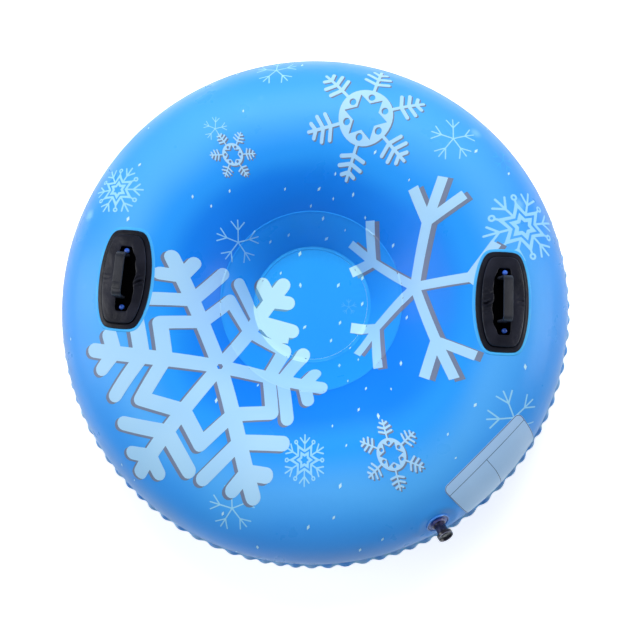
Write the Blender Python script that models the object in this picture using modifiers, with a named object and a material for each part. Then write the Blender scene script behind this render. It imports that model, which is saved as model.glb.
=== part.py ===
"""Snow tube: two rings of PVC film, blown up between an inner and an outer weld.

The film rings carry a seat floor, two grips, a blank panel and an air valve.
Metres, +Z up. The origin is on the tube's axis, at the ground. The image of the
tube from above has +X to the right and +Y up.
"""

import math

import bmesh
import bpy
import numpy as np
from mathutils import Matrix, Vector

# General
OBJECT_NAME = "snow_tube"
FIT_GAP = 0.0003
CUT_OVERRUN = 0.010
MERGE_DISTANCE = 0.00001

# Tube
SEAM_RADIUS = 0.475
WELD_RADIUS = 0.112
TOP_FILM = 0.0006
BOTTOM_FILM = 0.0008
GROUND_PRESS = 0.0005
TUBE_FACETS = 64
WELL_STEPS = 3
INNER_WALL_STEPS = 6
SHOULDER_STEPS = 4
RIM_STEPS = 3
BELLY_STEPS = 6

# Seat
WELD_SHEET = 0.0014
WELD_INSET = 0.0065
WELD_OUTSET = 0.0015
FLOOR_FILM = 0.0012
DOUBLER_SHARE = 0.1488
DOUBLER_RADIUS = WELD_RADIUS + DOUBLER_SHARE * (SEAM_RADIUS - WELD_RADIUS)
DOUBLER_FILM = 0.0005

# Outer seam
SEAM_WIDTH = 0.0085
SEAM_ROOT = 0.0030
SEAM_FLAT = 0.0008
SEAM_CRINKLE = 0.0030
SEAM_SCALLOP = 0.0012
SEAM_LOBES = 96

# Blank panel, laid out on the flat film, in shares of the film's width
PANEL_LENGTH_SHARE = 0.397
PANEL_DROP_SHARE = 0.2854
PANEL_TOP_SHARE = 0.6658
PANEL_FILM = 0.0004
PANEL_AZIMUTH_DEG = -42.1
PANEL_TURN_DEG = -46.0
PANEL_CORNER = 0.012
PANEL_CORNER_STEPS = 4
PANEL_EDGE_STEPS = 8

# Grips
GRIP_PLACE_SHARE = 0.5813
GRIP_RADIUS = WELD_RADIUS + GRIP_PLACE_SHARE * (SEAM_RADIUS - WELD_RADIUS)
GRIP_AZIMUTHS_DEG = {"left": 174.9, "right": -2.5}
GRIP_LENGTH = 0.170
GRIP_WIDTH = 0.089
GRIP_CORNER_POWER = 2.6
GRIP_SEGMENTS = 48
BASE_THICKNESS = 0.0020
COVER_RIM = 0.0095
COVER_THICKNESS = 0.0045
COVER_DRAFT_DEG = 24.0
SLOT_LENGTH_SHARE = 0.6588
SLOT_LENGTH = SLOT_LENGTH_SHARE * GRIP_LENGTH
SLOT_WIDTH = 0.0195

# Grip straps
STRAP_LENGTH_SHARE = 0.6696
STRAP_LENGTH = STRAP_LENGTH_SHARE * SLOT_LENGTH
STRAP_WIDTH = 0.0168
STRAP_THICKNESS = 0.0040
STRAP_RISE = 0.037
STRAP_SHOULDER = 0.0070
STRAP_SHOULDER_STEPS = 4
ROOT_PROUD = 0.0005
ROOT_SEGMENTS = 24

# Grip studs
STUD_SPACING_SHARE = 0.875
STUD_SPACING = STUD_SPACING_SHARE * SLOT_LENGTH
STUD_RADIUS = 0.0045
STUD_SHAFT = 0.0015
STUD_HEIGHT = 0.0040
STUD_SEGMENTS = 16
STUD_RINGS = 4

# Valve seat on the film
VALVE_AZIMUTH_DEG = -60.7
VALVE_PLACE_SHARE = 0.9105
VALVE_RADIUS = WELD_RADIUS + VALVE_PLACE_SHARE * (SEAM_RADIUS - WELD_RADIUS)
VALVE_FLAT = 0.042
VALVE_SEGMENTS = 24
FLANGE_RADIUS = 0.0195
FLANGE_THICKNESS = 0.0015

# Valve collar
COLLAR_RADIUS = 0.0120
COLLAR_TOP = 0.0045
COLLAR_DEPTH = 0.0060
COLLAR_LIP = 0.0010
STEM_RUNNING_GAP = 0.00035

# Valve stem, with the ear that carries the cap
STEM_RADIUS = 0.0095
STEM_BORE = 0.0070
STEM_TOP = 0.0220
STEM_DEPTH = 0.0100
STEM_LIP = 0.0011
STEM_LIP_HEIGHT = 0.0016
STEM_STOP = 0.0025
STEM_STOP_HEIGHT = 0.0015
HINGE_OFFSET = 0.0145
HINGE_TURN_DEG = 60.0
EAR_WIDTH = 0.0060
EAR_HEIGHT = 0.0028
EAR_SETBACK = 0.0006
EAR_OVERLAP = 0.0010

# Valve cap, tether and flap
CAP_RADIUS = 0.0115
CAP_HEIGHT = 0.0035
CAP_CHAMFER = 0.0006
PLUG_RADIUS = 0.0066
PLUG_TIP_RADIUS = 0.0061
PLUG_DEPTH = 0.0042
TETHER_THICKNESS = 0.0010
TETHER_WIDTH = 0.0050
TETHER_STEPS = 6
FLAP_RADIUS = 0.0082
FLAP_THICKNESS = 0.0010


class Arch:
    """Cross-section of a flat film ring that is welded at both rims and blown up.

    The film carries its load along the section only, so the sine of the slope
    falls with the square of the radius, down to an upright wall at the outer
    weld. The slope at the inner weld is the one that brings both welds to the
    same height.
    """

    SAMPLES = 1600
    HALVINGS = 50

    def __init__(self, inner, outer):
        self.inner = inner
        self.outer = outer
        steep, flat = 1.0, 0.0
        for _ in range(self.HALVINGS):
            self.start_sine = (steep + flat) / 2
            self._sample()
            if self.heights[-1] > 0:
                steep = self.start_sine
            else:
                flat = self.start_sine
        crown = int(np.argmax(self.heights))
        self.crown_arc = float(self.arcs[crown])
        self.crown_radius = float(self.radii[crown])
        self.crown_height = float(self.heights[crown])
        self.length = float(self.arcs[-1])

    def _sample(self):
        """Fill the tables of radius, height and arc length, from the inner weld to the outer."""
        span = math.sqrt(self.outer - self.inner)
        share = np.linspace(1.0, 0.0, self.SAMPLES)
        self.radii = self.outer - (span * share) ** 2
        bend = 2 * (1 + self.start_sine) / (self.outer**2 - self.inner**2)
        self.sines = self.start_sine - bend * (self.radii**2 - self.inner**2) / 2
        rate = 2 * span / np.sqrt((1 - self.sines) * bend * (self.outer + self.radii) / 2)
        steps = -np.diff(share)
        self.arcs = np.concatenate([[0], np.cumsum(steps * (rate[1:] + rate[:-1]) / 2)])
        climb = rate * self.sines
        self.heights = np.concatenate([[0], np.cumsum(steps * (climb[1:] + climb[:-1]) / 2)])

    def at_arc(self, arc):
        """Radius, height and slope angle at a distance along the film from the inner weld."""
        radius = float(np.interp(arc, self.arcs, self.radii))
        height = float(np.interp(arc, self.arcs, self.heights))
        sine = float(np.interp(arc, self.arcs, self.sines))
        return radius, height, math.asin(max(-1.0, min(1.0, sine)))

    def arc_of(self, radius):
        """Distance along the film from the inner weld to a radius."""
        return float(np.interp(radius, self.radii, self.arcs))


ARCH = Arch(WELD_RADIUS, SEAM_RADIUS)


def weld_lift(film):
    """Height of a film's rim over the middle of the welded sheet, clear of it by the gap."""
    slope = math.asin(ARCH.start_sine)
    return WELD_SHEET / 2 + FIT_GAP + film * math.cos(slope)


MID_HEIGHT = ARCH.crown_height + weld_lift(BOTTOM_FILM) - GROUND_PRESS
TOP_START = MID_HEIGHT + weld_lift(TOP_FILM)
BOTTOM_START = MID_HEIGHT - weld_lift(BOTTOM_FILM)


def srgb(red, green, blue):
    """Linear colour of an 8-bit screen colour."""
    full_scale = 255
    linear = []
    for channel in (red, green, blue):
        share = channel / full_scale
        linear.append(share / 12.92 if share <= 0.04045 else ((share + 0.055) / 1.055) ** 2.4)
    return (*linear, 1.0)


GLOSSY = 0.12
SHEEN = 0.30
SATIN = 0.42
FILM_BLUE = srgb(36, 140, 250)
BELLY_BLUE = srgb(24, 84, 190)
SEAM_BLUE = srgb(60, 130, 225)
FLOOR_BLUE = srgb(47, 160, 255)
DOUBLER_BLUE = srgb(70, 165, 250)
PANEL_GREY = srgb(190, 208, 235)
GRIP_BLACK = srgb(46, 44, 50)
STRAP_BLACK = srgb(64, 63, 68)
STUD_BLUE = srgb(50, 90, 190)
VALVE_CLEAR = srgb(150, 165, 205)
STEM_DARK = srgb(22, 22, 30)


def material(name, colour, roughness):
    """A plain Principled material."""
    made = bpy.data.materials.new(name)
    made.use_nodes = True
    shader = made.node_tree.nodes["Principled BSDF"]
    shader.inputs["Base Color"].default_value = colour
    shader.inputs["Roughness"].default_value = roughness
    shader.inputs["Metallic"].default_value = 0.0
    made.diffuse_color = colour
    return made


class Scene:
    """The collections that hold the parts and the cutters, and the ways to add to them."""

    def __init__(self):
        for old in list(bpy.data.objects):
            bpy.data.objects.remove(old, do_unlink=True)
        self.parts = self._collection(OBJECT_NAME)
        self.cutters = self._collection("cutters")

    def _collection(self, name):
        made = bpy.data.collections.new(name)
        bpy.context.scene.collection.children.link(made)
        return made

    def part(self, name, mesh, finish, place=None, parent=None):
        """Add a mesh as a named part with its finish."""
        mesh.materials.clear()
        mesh.materials.append(finish)
        made = bpy.data.objects.new(name, mesh)
        self.parts.objects.link(made)
        self._place(made, place, parent)
        return made

    def cutter(self, name, mesh, place=None, parent=None):
        """Add a mesh that only cuts or joins."""
        made = bpy.data.objects.new(name, mesh)
        made.hide_render = True
        made.display_type = "WIRE"
        self.cutters.objects.link(made)
        self._place(made, place, parent)
        return made

    def empty(self, name, place, parent=None):
        """Add an empty that carries a frame or a joint's axis."""
        made = bpy.data.objects.new(name, None)
        self.parts.objects.link(made)
        self._place(made, place, parent)
        return made

    def _place(self, made, place, parent):
        made.parent = parent
        if place is not None:
            made.matrix_local = place


def smooth(mesh, angle_deg=35.0):
    """Shade a mesh smooth, with its sharp edges kept."""
    mesh.shade_smooth()
    mesh.set_sharp_from_angle(angle=math.radians(angle_deg))


def profile_mesh(name, points, closed):
    """A mesh of edges through points given as radius and height, in the XZ plane."""
    made = bpy.data.meshes.new(name)
    edges = [(i, i + 1) for i in range(len(points) - 1)]
    if closed:
        edges.append((len(points) - 1, 0))
    made.from_pydata([(radius, 0.0, height) for radius, height in points], edges, [])
    return made


def turn(part, steps):
    """Turn a part's profile all the way round its Z axis."""
    screw = part.modifiers.new("turn", "SCREW")
    screw.axis = "Z"
    screw.angle = math.tau
    screw.steps = steps
    screw.render_steps = steps
    screw.use_merge_vertices = True
    screw.merge_threshold = MERGE_DISTANCE
    screw.use_smooth_shade = True
    return screw


def thicken(part, thickness, outwards):
    """Give an open surface a wall on one side of it."""
    wall = part.modifiers.new("wall", "SOLIDIFY")
    wall.thickness = thickness
    wall.offset = 1.0 if outwards else -1.0
    wall.use_even_offset = True
    return wall


def combine(part, other, operation):
    """Join another mesh to a part, or cut it away."""
    boolean = part.modifiers.new(operation.lower(), "BOOLEAN")
    boolean.operation = operation
    boolean.solver = "EXACT"
    boolean.object = other
    return boolean


def grid_mesh(name, columns, rows, place, wraps=False):
    """A grid whose points go where place(across, along) says, both from -1 to 1."""
    grid = bmesh.new()
    bmesh.ops.create_grid(grid, x_segments=columns, y_segments=rows, size=1.0)
    for point in grid.verts:
        point.co = place(point.co.x, point.co.y)
    if wraps:
        bmesh.ops.remove_doubles(grid, verts=grid.verts, dist=MERGE_DISTANCE)
    made = bpy.data.meshes.new(name)
    grid.to_mesh(made)
    grid.free()
    smooth(made)
    return made


def box_mesh(name, low, high):
    """A box between two corners."""
    box = bmesh.new()
    bmesh.ops.create_cube(box, size=1.0)
    for point in box.verts:
        shares = [share + 0.5 for share in point.co]
        point.co = Vector(a + share * (b - a) for a, b, share in zip(low, high, shares))
    made = bpy.data.meshes.new(name)
    box.to_mesh(made)
    box.free()
    return made


def cylinder_mesh(name, radius, depth, segments):
    """A cylinder along Z, centred on the origin."""
    cylinder = bmesh.new()
    bmesh.ops.create_cone(
        cylinder, cap_ends=True, segments=segments, radius1=radius, radius2=radius, depth=depth
    )
    made = bpy.data.meshes.new(name)
    cylinder.to_mesh(made)
    cylinder.free()
    return made


def pad_mesh(name, width, length, depth, draft):
    """A solid of superellipse outline along Z, drawn in by the draft per unit of height."""
    pad = bmesh.new()
    bmesh.ops.create_cone(
        pad, cap_ends=True, segments=GRIP_SEGMENTS, radius1=1.0, radius2=1.0, depth=depth
    )
    for point in pad.verts:
        x, y, z = point.co
        power = GRIP_CORNER_POWER
        reach = (abs(x) ** power + abs(y) ** power) ** (1 / power)
        point.co.x = x / reach * (width / 2 - z * draft)
        point.co.y = y / reach * (length / 2 - z * draft)
    made = bpy.data.meshes.new(name)
    pad.to_mesh(made)
    pad.free()
    return made


def lifted(arc, lift):
    """Radius and height of a point that stands off the top film's outer face."""
    radius, height, slope = ARCH.at_arc(arc)
    return radius - lift * math.sin(slope), TOP_START + height + lift * math.cos(slope)


def on_film(plan, lift):
    """The point over the top film at a place given in plan, off its face by the lift."""
    direction = plan.normalized()
    radius, height = lifted(ARCH.arc_of(plan.length), lift)
    return Vector((direction.x * radius, direction.y * radius, height))


def on_sheet(flat, lift):
    """The point over the top film at a place given on the film while it was flat."""
    direction = flat.normalized()
    radius, height = lifted(flat.length - WELD_RADIUS, lift)
    return Vector((direction.x * radius, direction.y * radius, height))


def spaced(start, end, steps):
    """Arc lengths that divide a stretch evenly, without its end."""
    return [start + (end - start) * step / steps for step in range(steps)]


def valve_band():
    """Arc lengths of the flat band of the top film that carries the valve."""
    middle = ARCH.arc_of(VALVE_RADIUS)
    return middle - VALVE_FLAT / 2, middle + VALVE_FLAT / 2


def top_stations():
    """Arc lengths of the top film's rings: the doubler's rim, the grips and the valve's band have one."""
    doubler = ARCH.arc_of(DOUBLER_RADIUS)
    grips = ARCH.arc_of(GRIP_RADIUS)
    band_start, band_end = valve_band()
    return [
        *spaced(0.0, doubler, WELL_STEPS),
        *spaced(doubler, grips, INNER_WALL_STEPS),
        *spaced(grips, band_start, SHOULDER_STEPS),
        band_start,
        *spaced(band_end, ARCH.length, RIM_STEPS),
        ARCH.length,
    ]


def film_ring(name, start, end, low, high):
    """A closed section between two lifts off the top film, over the stations that enclose a stretch."""
    arcs = top_stations()
    first = max(place for place, arc in enumerate(arcs) if arc <= start)
    last = min(place for place, arc in enumerate(arcs) if arc >= end)
    kept = arcs[first : last + 1]
    upper = [lifted(arc, high) for arc in kept]
    lower = [lifted(arc, low) for arc in reversed(kept)]
    return profile_mesh(name, upper + lower, True)


def facet_phase():
    """Turn of the film's facets that puts the middle of one at the valve."""
    return math.radians(VALVE_AZIMUTH_DEG) + math.pi / TUBE_FACETS


def build_top_shell(scene):
    """The printed film ring, with the hole for the valve."""
    points = [lifted(arc, 0.0) for arc in top_stations()]
    finish = material("top_film", FILM_BLUE, SHEEN)
    turned = Matrix.Rotation(facet_phase(), 4, "Z")
    shell = scene.part("top_shell", profile_mesh("top_shell", points, False), finish, turned)
    turn(shell, TUBE_FACETS)
    thicken(shell, TOP_FILM, outwards=False)
    hole = cylinder_mesh("valve_hole", COLLAR_RADIUS + FIT_GAP, CUT_OVERRUN, VALVE_SEGMENTS)
    cutter = scene.cutter("valve_hole", hole, valve_frame())
    combine(shell, cutter, "DIFFERENCE")
    return shell


def ground_band():
    """Arc lengths between which the belly is pressed flat on the ground."""
    level = ARCH.crown_height - GROUND_PRESS
    crown = int(np.argmax(ARCH.heights))
    rising = np.interp(level, ARCH.heights[: crown + 1], ARCH.arcs[: crown + 1])
    falling = np.interp(-level, -ARCH.heights[crown:], ARCH.arcs[crown:])
    return float(rising), float(falling)


def build_bottom_shell(scene):
    """The plain film ring that slides on the snow, flat where it rests."""
    flat_start, flat_end = ground_band()
    arcs = [
        *spaced(0.0, flat_start, BELLY_STEPS),
        flat_start,
        *spaced(flat_end, ARCH.length, BELLY_STEPS),
        ARCH.length,
    ]
    points = []
    for arc in reversed(arcs):
        radius, height, _ = ARCH.at_arc(arc)
        points.append((radius, BOTTOM_START - height))
    finish = material("bottom_film", BELLY_BLUE, SATIN)
    turned = Matrix.Rotation(facet_phase(), 4, "Z")
    shell = scene.part("bottom_shell", profile_mesh("bottom_shell", points, False), finish, turned)
    turn(shell, TUBE_FACETS)
    thicken(shell, BOTTOM_FILM, outwards=False)
    return shell


def build_seat(scene):
    """The floor, the weld ring round it and the doubler on the inner wall."""
    ring_inner = WELD_RADIUS - WELD_INSET
    ring_outer = WELD_RADIUS + WELD_OUTSET
    ring_top = MID_HEIGHT + WELD_SHEET / 2
    ring_bottom = MID_HEIGHT - WELD_SHEET / 2
    ring_points = [
        (ring_outer, ring_top),
        (ring_outer, ring_bottom),
        (ring_inner, ring_bottom),
        (ring_inner, ring_top),
    ]
    turned = Matrix.Rotation(facet_phase(), 4, "Z")
    ring_finish = material("weld_film", FLOOR_BLUE, SHEEN)
    ring_mesh = profile_mesh("inner_weld_ring", ring_points, True)
    turn(scene.part("inner_weld_ring", ring_mesh, ring_finish, turned), TUBE_FACETS)

    floor_radius = ring_inner - FIT_GAP
    floor_points = [
        (0.0, MID_HEIGHT + FLOOR_FILM / 2),
        (floor_radius, MID_HEIGHT + FLOOR_FILM / 2),
        (floor_radius, MID_HEIGHT - FLOOR_FILM / 2),
        (0.0, MID_HEIGHT - FLOOR_FILM / 2),
    ]
    floor_finish = material("seat_film", FLOOR_BLUE, SHEEN)
    floor_mesh = profile_mesh("seat_floor", floor_points, False)
    turn(scene.part("seat_floor", floor_mesh, floor_finish, turned), TUBE_FACETS)

    doubler_end = ARCH.arc_of(DOUBLER_RADIUS)
    doubler_finish = material("doubler_film", DOUBLER_BLUE, SHEEN)
    doubler_mesh = film_ring("well_doubler", 0.0, doubler_end, FIT_GAP, FIT_GAP + DOUBLER_FILM)
    turn(scene.part("well_doubler", doubler_mesh, doubler_finish, turned), TUBE_FACETS)


def build_outer_seam(scene):
    """The crinkled flange of the outer weld, flat at its root between the two films."""
    root = SEAM_RADIUS - SEAM_ROOT
    flat_end = SEAM_RADIUS + SEAM_FLAT
    tip = SEAM_RADIUS + SEAM_WIDTH

    def place(around, across):
        """Root, flat end and tip of the flange, by the three rows of the grid."""
        angle = math.pi * around
        fold = round(around * SEAM_LOBES) % 2 * 2 - 1
        crinkle = SEAM_CRINKLE * fold * max(across, 0.0)
        scallop = SEAM_SCALLOP * (1 - fold) / 2 * max(across, 0.0)
        radius = np.interp(across, (-1, 0, 1), (root, flat_end, tip)) - scallop
        return Vector((radius * math.cos(angle), radius * math.sin(angle), MID_HEIGHT + crinkle))

    mesh = grid_mesh("outer_seam", 2 * SEAM_LOBES, 2, place, wraps=True)
    seam = scene.part("outer_seam", mesh, material("seam_film", SEAM_BLUE, SHEEN))
    wall = thicken(seam, WELD_SHEET, outwards=True)
    wall.offset = 0.0
    wall.use_even_offset = False
    return seam


def arc_points(centre, radius, start_deg, end_deg, steps):
    """Points along an arc in the plane, both ends included."""
    points = []
    for step in range(steps + 1):
        angle = math.radians(start_deg + (end_deg - start_deg) * step / steps)
        points.append((centre[0] + radius * math.cos(angle), centre[1] + radius * math.sin(angle)))
    return points


def outline_mesh(name, points, depth):
    """A flat closed outline in XY, extruded by half its depth to both sides."""
    curve = bpy.data.curves.new(name, "CURVE")
    curve.dimensions = "2D"
    curve.fill_mode = "BOTH"
    curve.extrude = depth / 2
    spline = curve.splines.new("POLY")
    spline.points.add(len(points) - 1)
    for point, (x, y) in zip(spline.points, points):
        point.co = (x, y, 0.0, 1.0)
    spline.use_cyclic_u = True
    holder = bpy.data.objects.new(name, curve)
    bpy.context.scene.collection.objects.link(holder)
    evaluated = holder.evaluated_get(bpy.context.evaluated_depsgraph_get())
    made = bpy.data.meshes.new_from_object(evaluated)
    bpy.data.objects.remove(holder, do_unlink=True)
    welded = bmesh.new()
    welded.from_mesh(made)
    bmesh.ops.remove_doubles(welded, verts=welded.verts, dist=MERGE_DISTANCE)
    bmesh.ops.recalc_face_normals(welded, faces=welded.faces)
    welded.to_mesh(made)
    welded.free()
    return made


def panel_outline(length, drop):
    """Corners and edges of the panel on the flat film, as points about its middle."""
    half_drop = drop / 2 - PANEL_CORNER
    half_length = length / 2 - PANEL_CORNER
    turns = ((1, 1, 0), (-1, 1, 90), (-1, -1, 180), (1, -1, 270))
    corners = []
    for drop_side, length_side, start_deg in turns:
        centre = (drop_side * half_drop, length_side * half_length)
        corners.append(arc_points(centre, PANEL_CORNER, start_deg, start_deg + 90, PANEL_CORNER_STEPS))
    points = []
    for corner, following in zip(corners, corners[1:] + corners[:1]):
        start = Vector(corner[-1])
        end = Vector(following[0])
        points += [Vector(point) for point in corner]
        points += [start.lerp(end, step / PANEL_EDGE_STEPS) for step in range(1, PANEL_EDGE_STEPS)]
    return points


def build_panel(scene):
    """The blank panel: a rectangle on the flat film, which follows the blown-up wall."""
    length = PANEL_LENGTH_SHARE * ARCH.length
    drop = PANEL_DROP_SHARE * ARCH.length
    top_arc = PANEL_TOP_SHARE * ARCH.length
    azimuth = math.radians(PANEL_AZIMUTH_DEG)
    turned = math.radians(PANEL_TURN_DEG)
    top_middle = (WELD_RADIUS + top_arc) * Vector((math.cos(azimuth), math.sin(azimuth)))
    down = Vector((math.cos(turned), math.sin(turned)))
    side = Vector((-down.y, down.x))
    centre = top_middle + down * drop / 2
    _, _, slope = ARCH.at_arc(centre.length - WELD_RADIUS)
    facing = Matrix.Rotation(math.atan2(centre.y, centre.x), 4, "Z") @ Matrix.Rotation(-slope, 4, "Y")
    frame = Matrix.Translation(on_sheet(centre, FIT_GAP)) @ facing
    seen = []
    for point in panel_outline(length, drop):
        local = frame.inverted() @ on_sheet(centre + down * point.x + side * point.y, FIT_GAP)
        seen.append((local.x, local.y))
    mesh = film_ring("blank_panel", top_arc, ARCH.length, FIT_GAP, FIT_GAP + PANEL_FILM)
    facets = Matrix.Rotation(facet_phase(), 4, "Z")
    panel = scene.part("blank_panel", mesh, material("panel_film", PANEL_GREY, SATIN), facets)
    turn(panel, TUBE_FACETS)
    outline = scene.cutter("panel_outline", outline_mesh("panel_outline", seen, length), frame)
    combine(panel, outline, "INTERSECT")
    return panel


class Grip:
    """One grip on the tube's crown: base, slotted cover, strap and two studs."""

    def __init__(self, scene, side, azimuth_deg):
        self.scene = scene
        self.side = side
        azimuth = math.radians(azimuth_deg)
        self.outward = Vector((math.cos(azimuth), math.sin(azimuth)))
        self.along = Vector((-math.sin(azimuth), math.cos(azimuth)))
        _, _, slope = ARCH.at_arc(ARCH.arc_of(GRIP_RADIUS))
        origin = on_film(self.outward * GRIP_RADIUS, 0.0)
        tilt = Matrix.Rotation(azimuth, 4, "Z") @ Matrix.Rotation(-slope, 4, "Y")
        self.place = Matrix.Translation(origin) @ tilt
        self.frame = scene.empty(f"{side}_grip_frame", self.place)
        self.base_top = FIT_GAP + BASE_THICKNESS
        self.root_radius = STRAP_WIDTH / 2 + ROOT_PROUD
        self.root_reach = (STRAP_LENGTH - STRAP_THICKNESS) / 2
        root_floor = max(self._floor(end * self.root_reach) for end in (-1, 0, 1))
        self.axis_height = root_floor + FIT_GAP + self.root_radius

    def _floor(self, along):
        """Height of the base's face in the grip's frame, at a distance along the slot."""
        over = on_film(self.outward * GRIP_RADIUS + self.along * along, self.base_top)
        return (self.place.inverted() @ over).z

    def _patch(self, name, inset, low, high, draft):
        """A patch that follows the film between two lifts, inside the grip's outline by the inset."""
        corner = math.hypot(GRIP_RADIUS + GRIP_WIDTH / 2, GRIP_LENGTH / 2)
        start = ARCH.arc_of(GRIP_RADIUS - GRIP_WIDTH / 2)
        mesh = film_ring(name, start, ARCH.arc_of(corner), low, high)
        finish = material(name, GRIP_BLACK, SATIN)
        patch = self.scene.part(name, mesh, finish, Matrix.Rotation(facet_phase(), 4, "Z"))
        turn(patch, TUBE_FACETS)
        width = GRIP_WIDTH - 2 * inset
        length = GRIP_LENGTH - 2 * inset
        outline = pad_mesh(f"{name}_outline", width, length, GRIP_WIDTH, draft)
        cutter = self.scene.cutter(f"{name}_outline", outline, parent=self.frame)
        combine(patch, cutter, "INTERSECT")
        return patch

    def build_base(self):
        """The patch that is welded to the film."""
        self._patch(f"{self.side}_grip_base", 0.0, FIT_GAP, self.base_top, 0.0)

    def build_cover(self):
        """The raised cover inside the base's rim, with the slot for the strap."""
        low = self.base_top + FIT_GAP
        high = low + COVER_THICKNESS
        draft = math.tan(math.radians(COVER_DRAFT_DEG))
        cover = self._patch(f"{self.side}_grip_cover", COVER_RIM, low, high, draft)
        low_corner = (-SLOT_WIDTH / 2, -SLOT_LENGTH / 2, -GRIP_WIDTH / 2)
        high_corner = (SLOT_WIDTH / 2, SLOT_LENGTH / 2, GRIP_WIDTH / 2)
        slot = box_mesh(f"{self.side}_slot", low_corner, high_corner)
        cutter = self.scene.cutter(f"{self.side}_slot", slot, parent=self.frame)
        combine(cover, cutter, "DIFFERENCE")

    def strap_outline(self):
        """Side view of the strap, an arch on two legs, from its joint's axis up."""
        half = STRAP_LENGTH / 2
        top = self.base_top + STRAP_RISE - self.axis_height
        bend = STRAP_SHOULDER
        inner_bend = STRAP_SHOULDER - STRAP_THICKNESS
        centre_y = half - bend
        centre_z = top - bend
        steps = STRAP_SHOULDER_STEPS
        return [
            (half, 0.0),
            *arc_points((centre_y, centre_z), bend, 0, 90, steps),
            *arc_points((-centre_y, centre_z), bend, 90, 180, steps),
            (-half, 0.0),
            (STRAP_THICKNESS - half, 0.0),
            *arc_points((-centre_y, centre_z), inner_bend, 180, 90, steps),
            *arc_points((centre_y, centre_z), inner_bend, 90, 0, steps),
            (half - STRAP_THICKNESS, 0.0),
        ]

    def build_strap(self):
        """The arched strap, with round roots about the axis that it swings on."""
        name = f"{self.side}_grip_strap"
        axis = self.scene.empty(
            f"{self.side}_grip_axis",
            Matrix.Translation((0.0, 0.0, self.axis_height)),
            self.frame,
        )
        upright = Matrix(((0, 0, 1, 0), (1, 0, 0, 0), (0, 1, 0, 0), (0, 0, 0, 1)))
        mesh = outline_mesh(name, self.strap_outline(), STRAP_WIDTH)
        mesh.transform(upright)
        smooth(mesh)
        strap = self.scene.part(name, mesh, material(name, STRAP_BLACK, SATIN), parent=axis)
        root_depth = STRAP_THICKNESS + 2 * ROOT_PROUD
        sideways = Matrix.Rotation(math.pi / 2, 4, "X")
        for end, label in ((1, "upper"), (-1, "lower")):
            root = cylinder_mesh(f"{name}_{label}", self.root_radius, root_depth, ROOT_SEGMENTS)
            place = Matrix.Translation((0.0, end * self.root_reach, 0.0)) @ sideways
            combine(strap, self.scene.cutter(f"{name}_{label}", root, place, axis), "UNION")

    def build_studs(self):
        """The two domed studs at the ends of the slot."""
        steps = range(STUD_RINGS + 1)
        angles = [math.pi / 2 * (1 - step / STUD_RINGS) for step in steps]
        dome = [(STUD_RADIUS * math.cos(a), STUD_HEIGHT * math.sin(a)) for a in angles]
        dome[0] = (0.0, STUD_HEIGHT)
        points = [(r, h + STUD_SHAFT) for r, h in dome]
        points += [(STUD_RADIUS, 0.0), (0.0, 0.0)]
        for end, label in ((1, "upper"), (-1, "lower")):
            name = f"{self.side}_grip_stud_{label}"
            finish = material(name, STUD_BLUE, GLOSSY)
            away = end * STUD_SPACING / 2
            place = Matrix.Translation((0.0, away, self._floor(away) + FIT_GAP))
            stud = self.scene.part(name, profile_mesh(name, points, False), finish, place, self.frame)
            turn(stud, STUD_SEGMENTS)


def valve_frame():
    """Frame of the valve: X down the wall, Y along the ring, Z out of the film, on a facet's middle."""
    inner_arc, outer_arc = valve_band()
    inner_radius, inner_height = lifted(inner_arc, 0.0)
    outer_radius, outer_height = lifted(outer_arc, 0.0)
    flatten = math.cos(math.pi / TUBE_FACETS)
    run = (outer_radius - inner_radius) * flatten
    slope = math.atan2(outer_height - inner_height, run)
    azimuth = math.radians(VALVE_AZIMUTH_DEG)
    radius = (inner_radius + outer_radius) / 2 * flatten
    height = (inner_height + outer_height) / 2
    origin = Vector((radius * math.cos(azimuth), radius * math.sin(azimuth), height))
    turned = Matrix.Rotation(azimuth, 4, "Z") @ Matrix.Rotation(-slope, 4, "Y")
    return Matrix.Translation(origin) @ turned


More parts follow.
